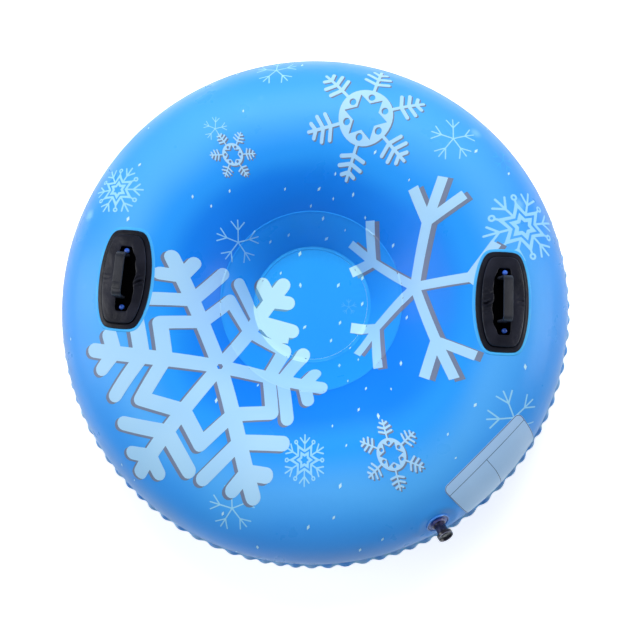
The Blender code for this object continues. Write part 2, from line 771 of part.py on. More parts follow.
class Valve:
    """The air valve on the outer wall, square to the film."""

    def __init__(self, scene):
        self.scene = scene
        self.frame = scene.empty("valve_frame", valve_frame())
        turned = Matrix.Rotation(math.radians(HINGE_TURN_DEG), 4, "Z")
        self.stem_axis = scene.empty("valve_stem_axis", turned, self.frame)
        hinge = Matrix.Translation((HINGE_OFFSET, 0.0, STEM_TOP))
        self.cap_axis = scene.empty("valve_cap_axis", hinge, self.stem_axis)
        flap = Matrix.Translation((FLAP_RADIUS, 0.0, -STEM_DEPTH - FIT_GAP))
        self.flap_axis = scene.empty("valve_flap_axis", flap, self.stem_axis)

    def _turned(self, name, points, closed, finish, parent):
        """A turned valve piece."""
        piece = self.scene.part(name, profile_mesh(name, points, closed), finish, parent=parent)
        turn(piece, VALVE_SEGMENTS)
        return piece

    def build_flange(self):
        """The ring that is welded to the film."""
        inner = COLLAR_RADIUS + FIT_GAP
        low = FIT_GAP
        high = FIT_GAP + FLANGE_THICKNESS
        points = [(FLANGE_RADIUS, high), (FLANGE_RADIUS, low), (inner, low), (inner, high)]
        finish = material("valve_flange", SEAM_BLUE, GLOSSY)
        self._turned("valve_flange", points, True, finish, self.frame)

    def build_collar(self):
        """The guide tube through the film, with a lip over the flange."""
        bore = STEM_RADIUS + STEM_RUNNING_GAP
        lip = COLLAR_RADIUS + COLLAR_LIP
        lip_base = FIT_GAP + FLANGE_THICKNESS + FIT_GAP
        points = [
            (lip, COLLAR_TOP),
            (lip, lip_base),
            (COLLAR_RADIUS, lip_base),
            (COLLAR_RADIUS, -COLLAR_DEPTH),
            (bore, -COLLAR_DEPTH),
            (bore, COLLAR_TOP),
        ]
        finish = material("valve_collar", VALVE_CLEAR, GLOSSY)
        self._turned("valve_collar", points, True, finish, self.frame)

    def build_stem(self):
        """The tube that pushes in, with a stop inside and an ear for the cap outside."""
        lip = STEM_RADIUS + STEM_LIP
        stop = STEM_RADIUS + STEM_STOP
        points = [
            (lip, STEM_TOP),
            (lip, STEM_TOP - STEM_LIP_HEIGHT),
            (STEM_RADIUS, STEM_TOP - STEM_LIP_HEIGHT),
            (STEM_RADIUS, STEM_STOP_HEIGHT - STEM_DEPTH),
            (stop, STEM_STOP_HEIGHT - STEM_DEPTH),
            (stop, -STEM_DEPTH),
            (STEM_BORE, -STEM_DEPTH),
            (STEM_BORE, STEM_TOP),
        ]
        finish = material("valve_stem", STEM_DARK, SHEEN)
        stem = self._turned("valve_stem", points, True, finish, self.stem_axis)
        ear_top = STEM_TOP - FIT_GAP
        low = (STEM_RADIUS - EAR_OVERLAP, -EAR_WIDTH / 2, ear_top - EAR_HEIGHT)
        high = (HINGE_OFFSET - EAR_SETBACK, EAR_WIDTH / 2, ear_top)
        ear = box_mesh("stem_ear", low, high)
        combine(stem, self.scene.cutter("stem_ear", ear, parent=self.stem_axis), "UNION")

    def build_cap(self):
        """The cap's head and tapered plug, measured from the axis that it opens on."""
        head_low = FIT_GAP
        head_high = head_low + CAP_HEIGHT
        points = [
            (0.0, head_high),
            (CAP_RADIUS - CAP_CHAMFER, head_high),
            (CAP_RADIUS, head_high - CAP_CHAMFER),
            (CAP_RADIUS, head_low),
            (PLUG_RADIUS, head_low),
            (PLUG_TIP_RADIUS, -PLUG_DEPTH),
            (0.0, -PLUG_DEPTH),
        ]
        finish = material("valve_cap", VALVE_CLEAR, GLOSSY)
        cap = self._turned("valve_cap", points, False, finish, self.cap_axis)
        cap.location = (-HINGE_OFFSET, 0.0, 0.0)

    def build_tether(self):
        """The strap that arches from over the ear to the side of the cap's head."""
        head_side = CAP_RADIUS - HINGE_OFFSET + FIT_GAP
        centre = (head_side, FIT_GAP)
        outer = TETHER_THICKNESS / 2 - head_side
        inner = outer - TETHER_THICKNESS
        points = [
            *arc_points(centre, outer, 0, 90, TETHER_STEPS),
            *arc_points(centre, inner, 90, 0, TETHER_STEPS),
        ]
        mesh = outline_mesh("valve_tether", points, TETHER_WIDTH)
        mesh.transform(Matrix.Rotation(math.pi / 2, 4, "X"))
        smooth(mesh)
        finish = material("valve_tether", VALVE_CLEAR, GLOSSY)
        self.scene.part("valve_tether", mesh, finish, parent=self.cap_axis)

    def build_flap(self):
        """The check flap under the stem's inner end, measured from its living hinge."""
        points = [
            (0.0, 0.0),
            (FLAP_RADIUS, 0.0),
            (FLAP_RADIUS, -FLAP_THICKNESS),
            (0.0, -FLAP_THICKNESS),
        ]
        finish = material("valve_flap", STEM_DARK, SATIN)
        flap = self._turned("valve_flap", points, False, finish, self.flap_axis)
        flap.location = (-FLAP_RADIUS, 0.0, 0.0)


def main():
    """Build the whole tube."""
    scene = Scene()
    build_top_shell(scene)
    build_bottom_shell(scene)
    build_seat(scene)
    build_outer_seam(scene)
    build_panel(scene)
    for side, azimuth_deg in GRIP_AZIMUTHS_DEG.items():
        grip = Grip(scene, side, azimuth_deg)
        grip.build_base()
        grip.build_cover()
        grip.build_strap()
        grip.build_studs()
    valve = Valve(scene)
    valve.build_flange()
    valve.build_collar()
    valve.build_stem()
    valve.build_cap()
    valve.build_tether()
    valve.build_flap()


main()
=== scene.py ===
"""Visual model of an inflatable snow tube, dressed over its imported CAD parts.

Two rings of printed vinyl film are blown up between an inner and an outer weld.
The tube carries a seat film, two strap grips, a blank printed panel and an air
valve. Metres, +Z up, the tube's axis on Z and the ground at zero height.
"""

import logging
import math
from dataclasses import dataclass, field
from enum import Enum

import bpy
import numpy as np
from mathutils import Matrix, Vector
from mathutils.geometry import delaunay_2d_cdt


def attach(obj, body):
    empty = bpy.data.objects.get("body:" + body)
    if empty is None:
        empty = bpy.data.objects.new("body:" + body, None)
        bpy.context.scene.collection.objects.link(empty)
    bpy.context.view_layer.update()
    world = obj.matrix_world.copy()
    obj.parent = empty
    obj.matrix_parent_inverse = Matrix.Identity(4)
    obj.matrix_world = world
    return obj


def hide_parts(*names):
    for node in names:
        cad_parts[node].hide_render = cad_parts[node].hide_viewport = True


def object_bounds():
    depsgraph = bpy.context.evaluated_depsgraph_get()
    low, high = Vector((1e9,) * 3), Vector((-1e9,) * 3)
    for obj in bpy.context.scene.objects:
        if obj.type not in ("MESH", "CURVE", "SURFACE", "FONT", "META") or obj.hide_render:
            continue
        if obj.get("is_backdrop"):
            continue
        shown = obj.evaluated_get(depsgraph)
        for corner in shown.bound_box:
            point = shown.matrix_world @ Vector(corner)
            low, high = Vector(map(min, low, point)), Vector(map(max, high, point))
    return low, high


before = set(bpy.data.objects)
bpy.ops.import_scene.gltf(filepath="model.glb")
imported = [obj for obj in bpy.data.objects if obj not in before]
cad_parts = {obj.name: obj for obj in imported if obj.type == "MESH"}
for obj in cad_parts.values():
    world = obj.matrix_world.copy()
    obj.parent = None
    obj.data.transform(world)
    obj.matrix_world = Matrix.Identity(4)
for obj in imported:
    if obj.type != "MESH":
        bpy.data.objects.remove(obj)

LOG = logging.getLogger("snow_tube")
MM = 0.001
GRID = 0.006
WHITE = (1.0, 1.0, 1.0, 1.0)
SWAY = ((5, 1.0, 0.5), (11, 0.0, 0.4))
Colour = tuple[int, int, int]
Feeds = dict[str | int, object]
Mesh = bpy.types.Mesh
Outline = np.ndarray
Place = tuple[float, float]
Socket = bpy.types.NodeSocket
Specs = tuple[tuple[Place, float, float], ...]
Spot = tuple[float, float, float]


def linear(colour: Colour) -> tuple[float, ...]:
    """Linear colour of an 8-bit screen colour."""
    shares = np.array(colour) / 255
    return (*np.where(shares <= 0.04045, shares / 12.92, ((shares + 0.055) / 1.055) ** 2.4).tolist(), 1.0)


def ease(value: np.ndarray | float, start: float, end: float) -> np.ndarray:
    """Smooth step of a value from 0 at the start to 1 at the end."""
    share = np.clip((np.asarray(value, float) - start) / (end - start), 0.0, 1.0)
    return share * share * (3 - 2 * share)


def bell(value: np.ndarray, centre: float, width: float) -> np.ndarray:
    """Bell curve of a value, 1 at its centre."""
    return np.exp(-(((value - centre) / width) ** 2))


def summed(rate: np.ndarray, steps: np.ndarray | float = 1.0) -> np.ndarray:
    """Running total of a rate over steps."""
    return np.concatenate([[0], np.cumsum(steps * (rate[1:] + rate[:-1]) / 2)])


def spaced(places: np.ndarray, weight: np.ndarray, count: int) -> np.ndarray:
    """A number of places, closer together where the weight is high."""
    total = summed(weight)
    return np.interp(np.linspace(0, total[-1], count), total, places)


def turns(count: int) -> np.ndarray:
    """Even angles of one full turn."""
    return np.linspace(0, math.tau, count, endpoint=False)


def around(angles: np.ndarray | float) -> np.ndarray:
    """Directions in plan at angles."""
    return np.stack([np.cos(angles), np.sin(angles)], axis=-1)


def beside(direction: np.ndarray) -> np.ndarray:
    """Direction a quarter turn to the left."""
    return np.array([-direction[1], direction[0]])


def turning(degrees: float) -> np.ndarray:
    """Matrix that turns rows of places in plan."""
    along = around(math.radians(degrees))
    return np.array([along, beside(along)])


def placed(azimuth: np.ndarray, radius: np.ndarray | float, height: np.ndarray) -> np.ndarray:
    """Points at azimuths, radii and heights."""
    return np.stack([radius * np.cos(azimuth), radius * np.sin(azimuth), height], axis=-1)


def carried(points: np.ndarray, place: Matrix) -> np.ndarray:
    """Points carried by a frame."""
    matrix = np.array(place)
    return points @ matrix[:3, :3].T + matrix[:3, 3]


# Nodes and finishes


class Nodes:
    """Adds nodes to the node tree of a material, a world or a geometry modifier."""

    def __init__(self, tree: bpy.types.NodeTree) -> None:
        """Hold the tree."""
        self.tree = tree

    def feed(self, node: bpy.types.Node, feeds: Feeds) -> None:
        """Link sockets to a node's inputs, or set plain values on them.

        Args:
            node: The node.
            feeds: Sockets or values, by the input's name or number.
        """
        for key, source in feeds.items():
            if isinstance(source, Socket):
                self.tree.links.new(source, node.inputs[key])
            else:
                node.inputs[key].default_value = source

    def add(self, kind: str, feeds: Feeds | None = None, **settings: object) -> bpy.types.Node:
        """Add a node.

        Args:
            kind: Its type.
            feeds: Sockets or values for its inputs.
            settings: Its own settings.

        Returns:
            The node.
        """
        node = self.tree.nodes.new(kind)
        for label, value in settings.items():
            setattr(node, label, value)
        self.feed(node, feeds or {})
        return node

    def math(self, operation: str, first: object, *others: object) -> Socket:
        """Work out a sum, product or other operation, step by step for more than two sources.

        Args:
            operation: The operation.
            first: The first socket or value.
            others: The sockets or values that follow, if any.

        Returns:
            The result.
        """
        result = first
        for other in others or (0.0,):
            result = self.add("ShaderNodeMath", {0: result, 1: other}, operation=operation).outputs[0]
        return result

    def plus(self, *sources: object) -> Socket:
        """Sum of sockets and values."""
        return self.math("ADD", *sources)

    def minus(self, first: object, second: object) -> Socket:
        """Difference of two sockets or values."""
        return self.math("SUBTRACT", first, second)

    def times(self, *sources: object) -> Socket:
        """Product of sockets and values."""
        return self.math("MULTIPLY", *sources)

    def blend(self, first: object, second: object, share: object) -> Socket:
        """Mix of two colours."""
        return self.add("ShaderNodeMix", {0: share, 6: first, 7: second}, data_type="RGBA").outputs[2]


class NodeKit(Nodes):
    """Adds the nodes of one procedural material."""

    def __init__(self, name: str) -> None:
        """Start a material with one Principled shader, read on Object coordinates.

        Args:
            name: Name of the material.
        """
        self.material = bpy.data.materials.new(name)
        self.material.use_nodes = True
        super().__init__(self.material.node_tree)
        self.shader = self.tree.nodes["Principled BSDF"]
        self.place = self.add("ShaderNodeTexCoord").outputs["Object"]
        self.below = {}

    def noise(self, scale: float, detail: float) -> Socket:
        """Noise between 0 and 1, by its waves per metre and its octaves."""
        feeds = {"Vector": self.place, "Scale": scale, "Detail": detail}
        return self.add("ShaderNodeTexNoise", feeds).outputs[0]

    def span(self, value: Socket, low: float, high: float, to: Place = (0.0, 1.0)) -> Socket:
        """A value mapped smoothly from one range to another."""
        feeds = {"Value": value, "From Min": low, "From Max": high, "To Min": to[0], "To Max": to[1]}
        return self.add("ShaderNodeMapRange", feeds, interpolation_type="SMOOTHSTEP").outputs[0]

    def parts(self) -> list[Socket]:
        """The three coordinates."""
        return list(self.add("ShaderNodeSeparateXYZ", {0: self.place}).outputs)

    def radius(self) -> Socket:
        """Distance from the tube's axis."""
        x, y, _ = self.parts()
        return self.math("SQRT", self.plus(self.times(x, x), self.times(y, y)))

    def bump(self, height: Socket, depth: float) -> None:
        """Lay a bump over those before it.

        Args:
            height: Its height, between 0 and 1.
            depth: Its depth in metres.
        """
        node = self.add("ShaderNodeBump", {"Height": height, "Distance": depth, **self.below})
        self.below = {"Normal": node.outputs[0]}
        self.feed(self.shader, self.below)


@dataclass(frozen=True)
class Vinyl:
    """Plain vinyl: two close tones, a wandering gloss and a fine grain."""

    name: str
    colour: Colour
    second: Colour
    roughness: float = 0.42
    spread: float = 0.06
    tone_scale: float = 9.0
    grain_scale: float = 900.0
    grain_depth: float = 0.00010
    crease_scale: float = 60.0
    crease_depth: float = 0.0004
    coat: float = 0.0
    coat_roughness: float = 0.12
    specular: float = 0.5

    def tones(self, kit: NodeKit) -> Socket:
        """The two tones, mixed in soft patches."""
        share = kit.span(kit.noise(self.tone_scale, 1.0), 0.30, 0.70)
        return kit.blend(linear(self.colour), linear(self.second), share)

    def paint(self, kit: NodeKit) -> Socket:
        """The finish's colour; a finish that does more also sets that here."""
        return self.tones(kit)

    def material(self) -> bpy.types.Material:
        """Make the material, or find it if it is there.

        Returns:
            The material.
        """
        name = f"{self.name}_look"
        if name in bpy.data.materials:
            return bpy.data.materials[name]
        kit = NodeKit(name)
        gloss = (self.roughness - self.spread, self.roughness + self.spread)
        feeds = {
            "Roughness": kit.span(kit.noise(self.tone_scale * 3, 4.0), 0.3, 0.7, gloss),
            "Coat Weight": self.coat,
            "Coat Roughness": self.coat_roughness,
            "Specular IOR Level": self.specular,
        }
        kit.feed(kit.shader, feeds)
        kit.bump(kit.noise(self.crease_scale, 2.0), self.crease_depth)
        kit.bump(kit.noise(self.grain_scale, 2.0), self.grain_depth)
        kit.feed(kit.shader, {"Base Color": self.paint(kit)})
        return kit.material


@dataclass(frozen=True)
class Film(Vinyl):
    """Glossy tube film."""

    roughness: float = 0.32
    spread: float = 0.05
    tone_scale: float = 6.0
    grain_depth: float = 0.00003
    crease_scale: float = 30.0
    crease_depth: float = 0.0006
    coat: float = 0.06
    specular: float = 0.24


@dataclass(frozen=True)
class PrintedFilm(Film):
    """Tube film: printed blues in soft rings with painted light and shade in them, pale on the crown as a
    painted highlight, with blurred pale flecks.
    """

    tone_scale: float = 4.0
    grain_scale: float = 320.0
    grain_depth: float = 0.000006
    crease_scale: float = 26.0
    crease_depth: float = 0.0008
    rings: tuple[tuple[float, Colour], ...] = ()
    tone_share: float = 0.25
    drift: float = 0.014
    fleck: Colour = (150, 216, 255)
    fleck_scale: float = 13.0
    fleck_size: float = 0.20
    fleck_core: float = 0.02
    fleck_limit: float = 0.72
    fleck_share: float = 0.5

    def _ringed(self, kit: NodeKit) -> Socket:
        """The print's colour, with the painted light and shade of its rings, by distance from the tube's
        axis, on a wandering edge.

        Args:
            kit: The material's nodes.

        Returns:
            The colour.
        """
        drift = kit.span(kit.noise(self.tone_scale * 1.4, 0.0), 0.25, 0.75, (-self.drift, self.drift))
        first, last = self.rings[0][0], self.rings[-1][0]
        share = kit.math("DIVIDE", kit.minus(kit.plus(kit.radius(), drift), first), last - first)
        ramp = kit.add("ShaderNodeValToRGB", {0: share})
        ramp.color_ramp.interpolation = "EASE"
        stops = ramp.color_ramp.elements
        for radius, _ in self.rings[1:-1]:
            stops.new((radius - first) / (last - first))
        for stop, (_, colour) in zip(stops, self.rings):
            stop.color = linear(colour)
        return ramp.outputs[0]

    def paint(self, kit: NodeKit) -> Socket:
        """The rings and tones with their flecks.

        Args:
            kit: The material's nodes.

        Returns:
            The colour.
        """
        body = kit.blend(self._ringed(kit), self.tones(kit), self.tone_share)
        cells = kit.add("ShaderNodeTexVoronoi", {"Vector": kit.place, "Scale": self.fleck_scale}).outputs
        chance = kit.add("ShaderNodeSeparateColor", {0: cells["Color"]}).outputs[0]
        chosen = kit.math("GREATER_THAN", chance, self.fleck_limit)
        spot = kit.span(cells["Distance"], self.fleck_size, self.fleck_core)
        return kit.blend(body, linear(self.fleck), kit.times(spot, chosen, self.fleck_share))


@dataclass(frozen=True)
class Ink(Vinyl):
    """Printed ink, darker low on the wall as painted shade, and brighter under the doubler and on the seat.
    """

    roughness: float = 0.40
    spread: float = 0.05
    tone_scale: float = 8.0
    grain_depth: float = 0.00003
    crease_scale: float = 30.0
    specular: float = 0.30
    # lower: painted shade, the ink's colour low on the wall where it lies in shadow; low_height and
    # high_height bound it
    lower: Colour = (150, 203, 255)
    ring: Colour = (190, 238, 255)
    seat: Colour = (200, 246, 255)
    seat_edge: float = 0.1125
    ring_edge: float = 0.1662
    ring_share: float = 0.35
    low_height: float = 0.15
    high_height: float = 0.26

    def paint(self, kit: NodeKit) -> Socket:
        """The tones, darkened low on the wall as painted shade, and shifted by distance from the tube's
        axis.

        Args:
            kit: The material's nodes.

        Returns:
            The colour.
        """
        # Painted shade: below the high height the ink darkens towards its lower colour.
        climb = kit.span(kit.parts()[2], self.low_height, self.high_height)
        wall = kit.blend(linear(self.lower), self.tones(kit), climb)
        radius = kit.radius()
        under = kit.times(kit.math("LESS_THAN", radius, self.ring_edge), self.ring_share)
        ring = kit.blend(wall, linear(self.ring), under)
        return kit.blend(ring, linear(self.seat), kit.math("LESS_THAN", radius, self.seat_edge))


@dataclass(frozen=True)
class PaintedShadeVinyl(Vinyl):
    """Grip vinyl with painted shade: it goes dark and loses its reflection where its own "depth" attribute
    says it lies in shadow.
    """

    roughness: float = 0.40
    spread: float = 0.08
    tone_scale: float = 22.0
    grain_depth: float = 0.00018
    crease_depth: float = 0.0016
    specular: float = 0.4
    # Painted shade: the near-black colour of the slot and the groove where they lie in shadow.
    deep: Colour = (3, 3, 4)

    def paint(self, kit: NodeKit) -> Socket:
        """The tones, with painted shade: dark and dull in the depths.

        Args:
            kit: The material's nodes.

        Returns:
            The colour.
        """
        depth = kit.add("ShaderNodeAttribute", attribute_name="depth").outputs["Fac"]
        # Painted shade also takes the reflection away in the depths.
        kit.feed(kit.shader, {"Specular IOR Level": kit.times(kit.minus(1.0, depth), self.specular)})
        return kit.blend(self.tones(kit), linear(self.deep), depth)


@dataclass(frozen=True)
class RibbedVinyl(Vinyl):
    """Strap vinyl with fine ribs along the strap, across its turned X axis."""

    roughness: float = 0.36
    spread: float = 0.05
    tone_scale: float = 30.0
    grain_depth: float = 0.00006
    crease_depth: float = 0.0005
    turn_deg: float = 0.0
    ribs: float = 420.0
    rib_waver: float = 0.6
    rib_share: float = 0.35
    rib_depth: float = 0.00012

    def paint(self, kit: NodeKit) -> Socket:
        """The tones and ribs.

        Args:
            kit: The material's nodes.

        Returns:
            The colour.
        """
        turn = (0.0, 0.0, -math.radians(self.turn_deg))
        place = kit.add("ShaderNodeMapping", {"Vector": kit.place, "Rotation": turn}).outputs[0]
        feeds = {"Vector": place, "Scale": self.ribs, "Distortion": self.rib_waver}
        wave = kit.add("ShaderNodeTexWave", feeds, wave_type="BANDS", bands_direction="X").outputs["Fac"]
        kit.bump(wave, self.rib_depth)
        return kit.blend(self.tones(kit), linear(self.second), kit.times(wave, self.rib_share))


@dataclass(frozen=True)
class Moulded(Vinyl):
    """Hard, smooth vinyl or plastic, as on the studs and the valve."""

    tone_scale: float = 80.0
    grain_scale: float = 1500.0
    grain_depth: float = 0.00004
    crease_scale: float = 260.0
    crease_depth: float = 0.0002
    coat: float = 0.5


@dataclass(frozen=True)
class ClearVinyl(Moulded):
    """Half-clear vinyl, as on the valve's collar and the cap's rim."""

    roughness: float = 0.14
    spread: float = 0.05
    tone_scale: float = 120.0
    grain_depth: float = 0.00003
    crease_scale: float = 300.0
    crease_depth: float = 0.0001
    coat: float = 0.6
    clear: float = 0.35
    density: float = 1.42

    def paint(self, kit: NodeKit) -> Socket:
        """The tones, on a shader that lets light through."""
        kit.feed(kit.shader, {"Transmission Weight": self.clear, "IOR": self.density})
        return self.tones(kit)


# Printed blues with painted light and shade: the pale ring on the crown is a painted highlight; the dark
# rings in the well and the grey at the seam are painted shade.
CROWN_RINGS_AND_PAINTED_LIGHT = (
    (0.110, (24, 138, 248)),
    (0.165, (20, 122, 238)),
    (0.215, (24, 128, 243)),
    (0.270, (42, 158, 255)),
    (0.345, (94, 182, 255)),
    (0.430, (70, 160, 250)),
    (0.478, (92, 146, 216)),
)
BELLY_RINGS = (
    (0.110, (22, 108, 222)),
    (0.330, (30, 130, 238)),
    (0.440, (42, 134, 230)),
    (0.478, (62, 128, 212)),
)
WELD = {"tone_scale": 20.0, "crease_scale": 90.0, "crease_depth": 0.0002}
PRINT = {"tone_scale": 10.0, "crease_scale": 40.0, "specular": 0.3}
SMOOTH = {"tone_scale": 120.0, "crease_scale": 300.0, "crease_depth": 0.0001}
TOP_FILM = PrintedFilm("printed_film", (22, 150, 255), (36, 164, 255), rings=CROWN_RINGS_AND_PAINTED_LIGHT)
BELLY_FILM = PrintedFilm("belly_film", (22, 104, 226), (28, 116, 234), rings=BELLY_RINGS, fleck_share=0.0)
SEAT_FILM = Film("seat_film", (40, 166, 255), (44, 170, 255))
WELD_FILM = Film("weld_film", (60, 178, 255), (44, 168, 255), grain_depth=0.00006, **WELD)
PATCH_FILM = Film("patch_film", (84, 190, 255), (70, 178, 255), grain_depth=0.00004, **WELD)
DOUBLER_FILM = Film("doubler_film", (36, 154, 252), (44, 160, 252))
# Pale blues: partly the flange's own clear film, partly painted light that stands in for light shining
# through it.
SEAM_FILM_WITH_PAINTED_LIGHT = Film(
    "seam_film", (176, 222, 255), (112, 182, 250), tone_scale=60.0, grain_depth=0.00008, crease_scale=140.0
)
PALE_INK = Ink("pale_ink", (176, 221, 255), (168, 216, 254))
GREY_INK = Ink(
    "shadow_ink",
    (122, 134, 162),
    (114, 128, 158),
    lower=(108, 116, 150),
    ring=(150, 160, 176),
    seat=(112, 168, 204),
)
FINE_INK = Ink("fine_ink", (150, 215, 255), (160, 220, 255), lower=(112, 184, 250), ring=(150, 210, 255))
FAINT_INK = Ink(
    "faint_ink",
    (70, 178, 255),
    (80, 184, 255),
    lower=(60, 165, 250),
    ring=(70, 175, 255),
    seat=(86, 190, 255),
)
SPECK_INK = Ink("speck_ink", (205, 242, 255), (190, 236, 255), lower=(140, 208, 255), seat=(190, 246, 255))
PANEL_VINYL = Vinyl(
    "panel_vinyl", (184, 216, 252), (176, 210, 248), 0.36, grain_depth=0.00004, crease_depth=0.0005, **PRINT
)
PANEL_LINE = Vinyl(
    "panel_line",
    (84, 108, 150),
    (76, 100, 144),
    0.45,
    0.05,
    grain_depth=0.00003,
    crease_depth=0.0003,
    **PRINT,
)
GRIP_VINYL = PaintedShadeVinyl(
    "grip_vinyl",
    (22, 23, 32),
    (33, 34, 45),
    roughness=0.36,
    grain_scale=1100.0,
    grain_depth=0.00012,
    crease_scale=70.0,
    crease_depth=0.0012,
)
PAD_VINYL = PaintedShadeVinyl("pad_vinyl", (24, 25, 35), (37, 38, 50))
STUD_PLASTIC = Moulded(
    "stud_plastic",
    (64, 116, 226),
    (48, 92, 204),
    0.20,
    0.04,
    grain_scale=2000.0,
    grain_depth=0.00002,
    coat=1.0,
    **SMOOTH,
)
VALVE_BEAD = Moulded("valve_bead", (80, 150, 238), (66, 136, 226), 0.30)
# Dark blue: painted shade of the hollow round the valve's stem.
VALVE_WELD_PAINTED_SHADE = Moulded("valve_weld", (36, 84, 188), (30, 66, 160), 0.22)
VALVE_CLEAR = ClearVinyl("valve_clear", (108, 110, 172), (82, 84, 146))
CAP_RIM = ClearVinyl("cap_rim", (150, 150, 172), (112, 112, 134), 0.16, clear=0.2)
CAP_DARK = Moulded("cap_dark", (24, 24, 30), (44, 43, 54), 0.20, tone_scale=90.0, coat=0.4)
STEM_DARK = Moulded("stem_dark", (58, 56, 84), (30, 30, 48), 0.22, coat=0.3, **SMOOTH)


# Meshes


def build_mesh(name: str, points: np.ndarray, faces: list, sharp_deg: float) -> Mesh:
    """A mesh shaded smooth up to an angle.

    Args:
        name: Name of the mesh.
        points: Its points, one row each.
        faces: Its faces, as lists of point numbers.
        sharp_deg: Edges over this angle stay sharp.

    Returns:
        The mesh.
    """
    made = bpy.data.meshes.new(name)
    made.from_pydata(np.asarray(points, float).tolist(), [], [list(map(int, f)) for f in faces])
    made.shade_smooth()
    made.set_sharp_from_angle(angle=math.radians(sharp_deg))
    return made


def grid_faces(rows: int, columns: int, wrap_rows: bool, wrap_columns: bool = True) -> np.ndarray:
    """Quads of a grid of points, numbered row by row.

    Args:
        rows: Number of rows of points.
        columns: Points in a row.
        wrap_rows: Join the last row to the first.
        wrap_columns: Join each row's end to its start.

    Returns:
        Four point numbers for each quad.
    """
    down = np.arange(rows if wrap_rows else rows - 1)
    across = np.arange(columns if wrap_columns else columns - 1)
    i, j = np.meshgrid(down, across, indexing="ij")
    below, beyond = (i + 1) % rows, (j + 1) % columns
    quads = [i * columns + j, i * columns + beyond, below * columns + beyond, below * columns + j]
    return np.stack([q.ravel() for q in quads], axis=1)


def stacked(name: str, rings: list, sharp_deg: float, tips: list | None = None, flat: bool = False) -> Mesh:
    """A closed mesh from rings of points that run anticlockwise and climb.

    Args:
        name: Name of the mesh.
        rings: The rings, with the same number of points each.
        sharp_deg: Edges over this angle stay sharp.
        tips: Low and high middle points, on which the two ends close.
        flat: Close the two ends with flat faces. With neither, the last ring joins the first.

    Returns:
        The mesh.
    """
    columns, last = len(rings[0]), (len(rings) - 1) * len(rings[0])
    points = np.concatenate(rings)
    faces = grid_faces(len(rings), columns, wrap_rows=not (tips or flat)).tolist()
    if tips:
        low, high = len(points), len(points) + 1
        pairs = [(j, (j + 1) % columns) for j in range(columns)]
        faces += [[following, j, low] for j, following in pairs]
        faces += [[last + j, last + following, high] for j, following in pairs]
        points = np.concatenate([points, tips])
    if flat:
        faces += [list(range(columns))[::-1], list(range(last, last + columns))]
    return build_mesh(name, points, faces, sharp_deg)


def lathe(name: str, profile: list, columns: int, sharp_deg: float = 35.0, closed: bool = True) -> Mesh:
    """A turned solid about Z.

    Args:
        name: Name of the mesh.
        profile: Radius and height of its points, going outwards at the bottom and up.
        columns: Points round it.
        sharp_deg: Edges over this angle stay sharp.
        closed: Whether the profile is a loop; else both ends are closed on the axis.

    Returns:
        The mesh.
    """
    rings = [placed(turns(columns), r, np.ones(columns) * z) for r, z in profile]
    tips = None if closed else [rings[0].mean(axis=0), rings[-1].mean(axis=0)]
    return stacked(name, rings, sharp_deg, tips)


def show(mesh: Mesh, finish: Vinyl, slot: str, *nodes: str, body: str = "tube") -> bpy.types.Object:
    """Show a mesh as a piece of the object.

    Args:
        mesh: The piece's mesh, in its place.
        finish: Its finish.
        slot: The record's material slot; not used.
        nodes: The CAD nodes that it stands for.
        body: The CAD body that it rides on.

    Returns:
        The piece.
    """
    mesh.materials.clear()
    mesh.materials.append(finish.material())
    piece = bpy.data.objects.new(mesh.name, mesh)
    bpy.context.scene.collection.objects.link(piece)
    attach(piece, body)
    if nodes:
        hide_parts(*nodes)
    LOG.info("%s: %d faces on %s", piece.name, len(mesh.polygons), body)
    return piece


# Form of the tube


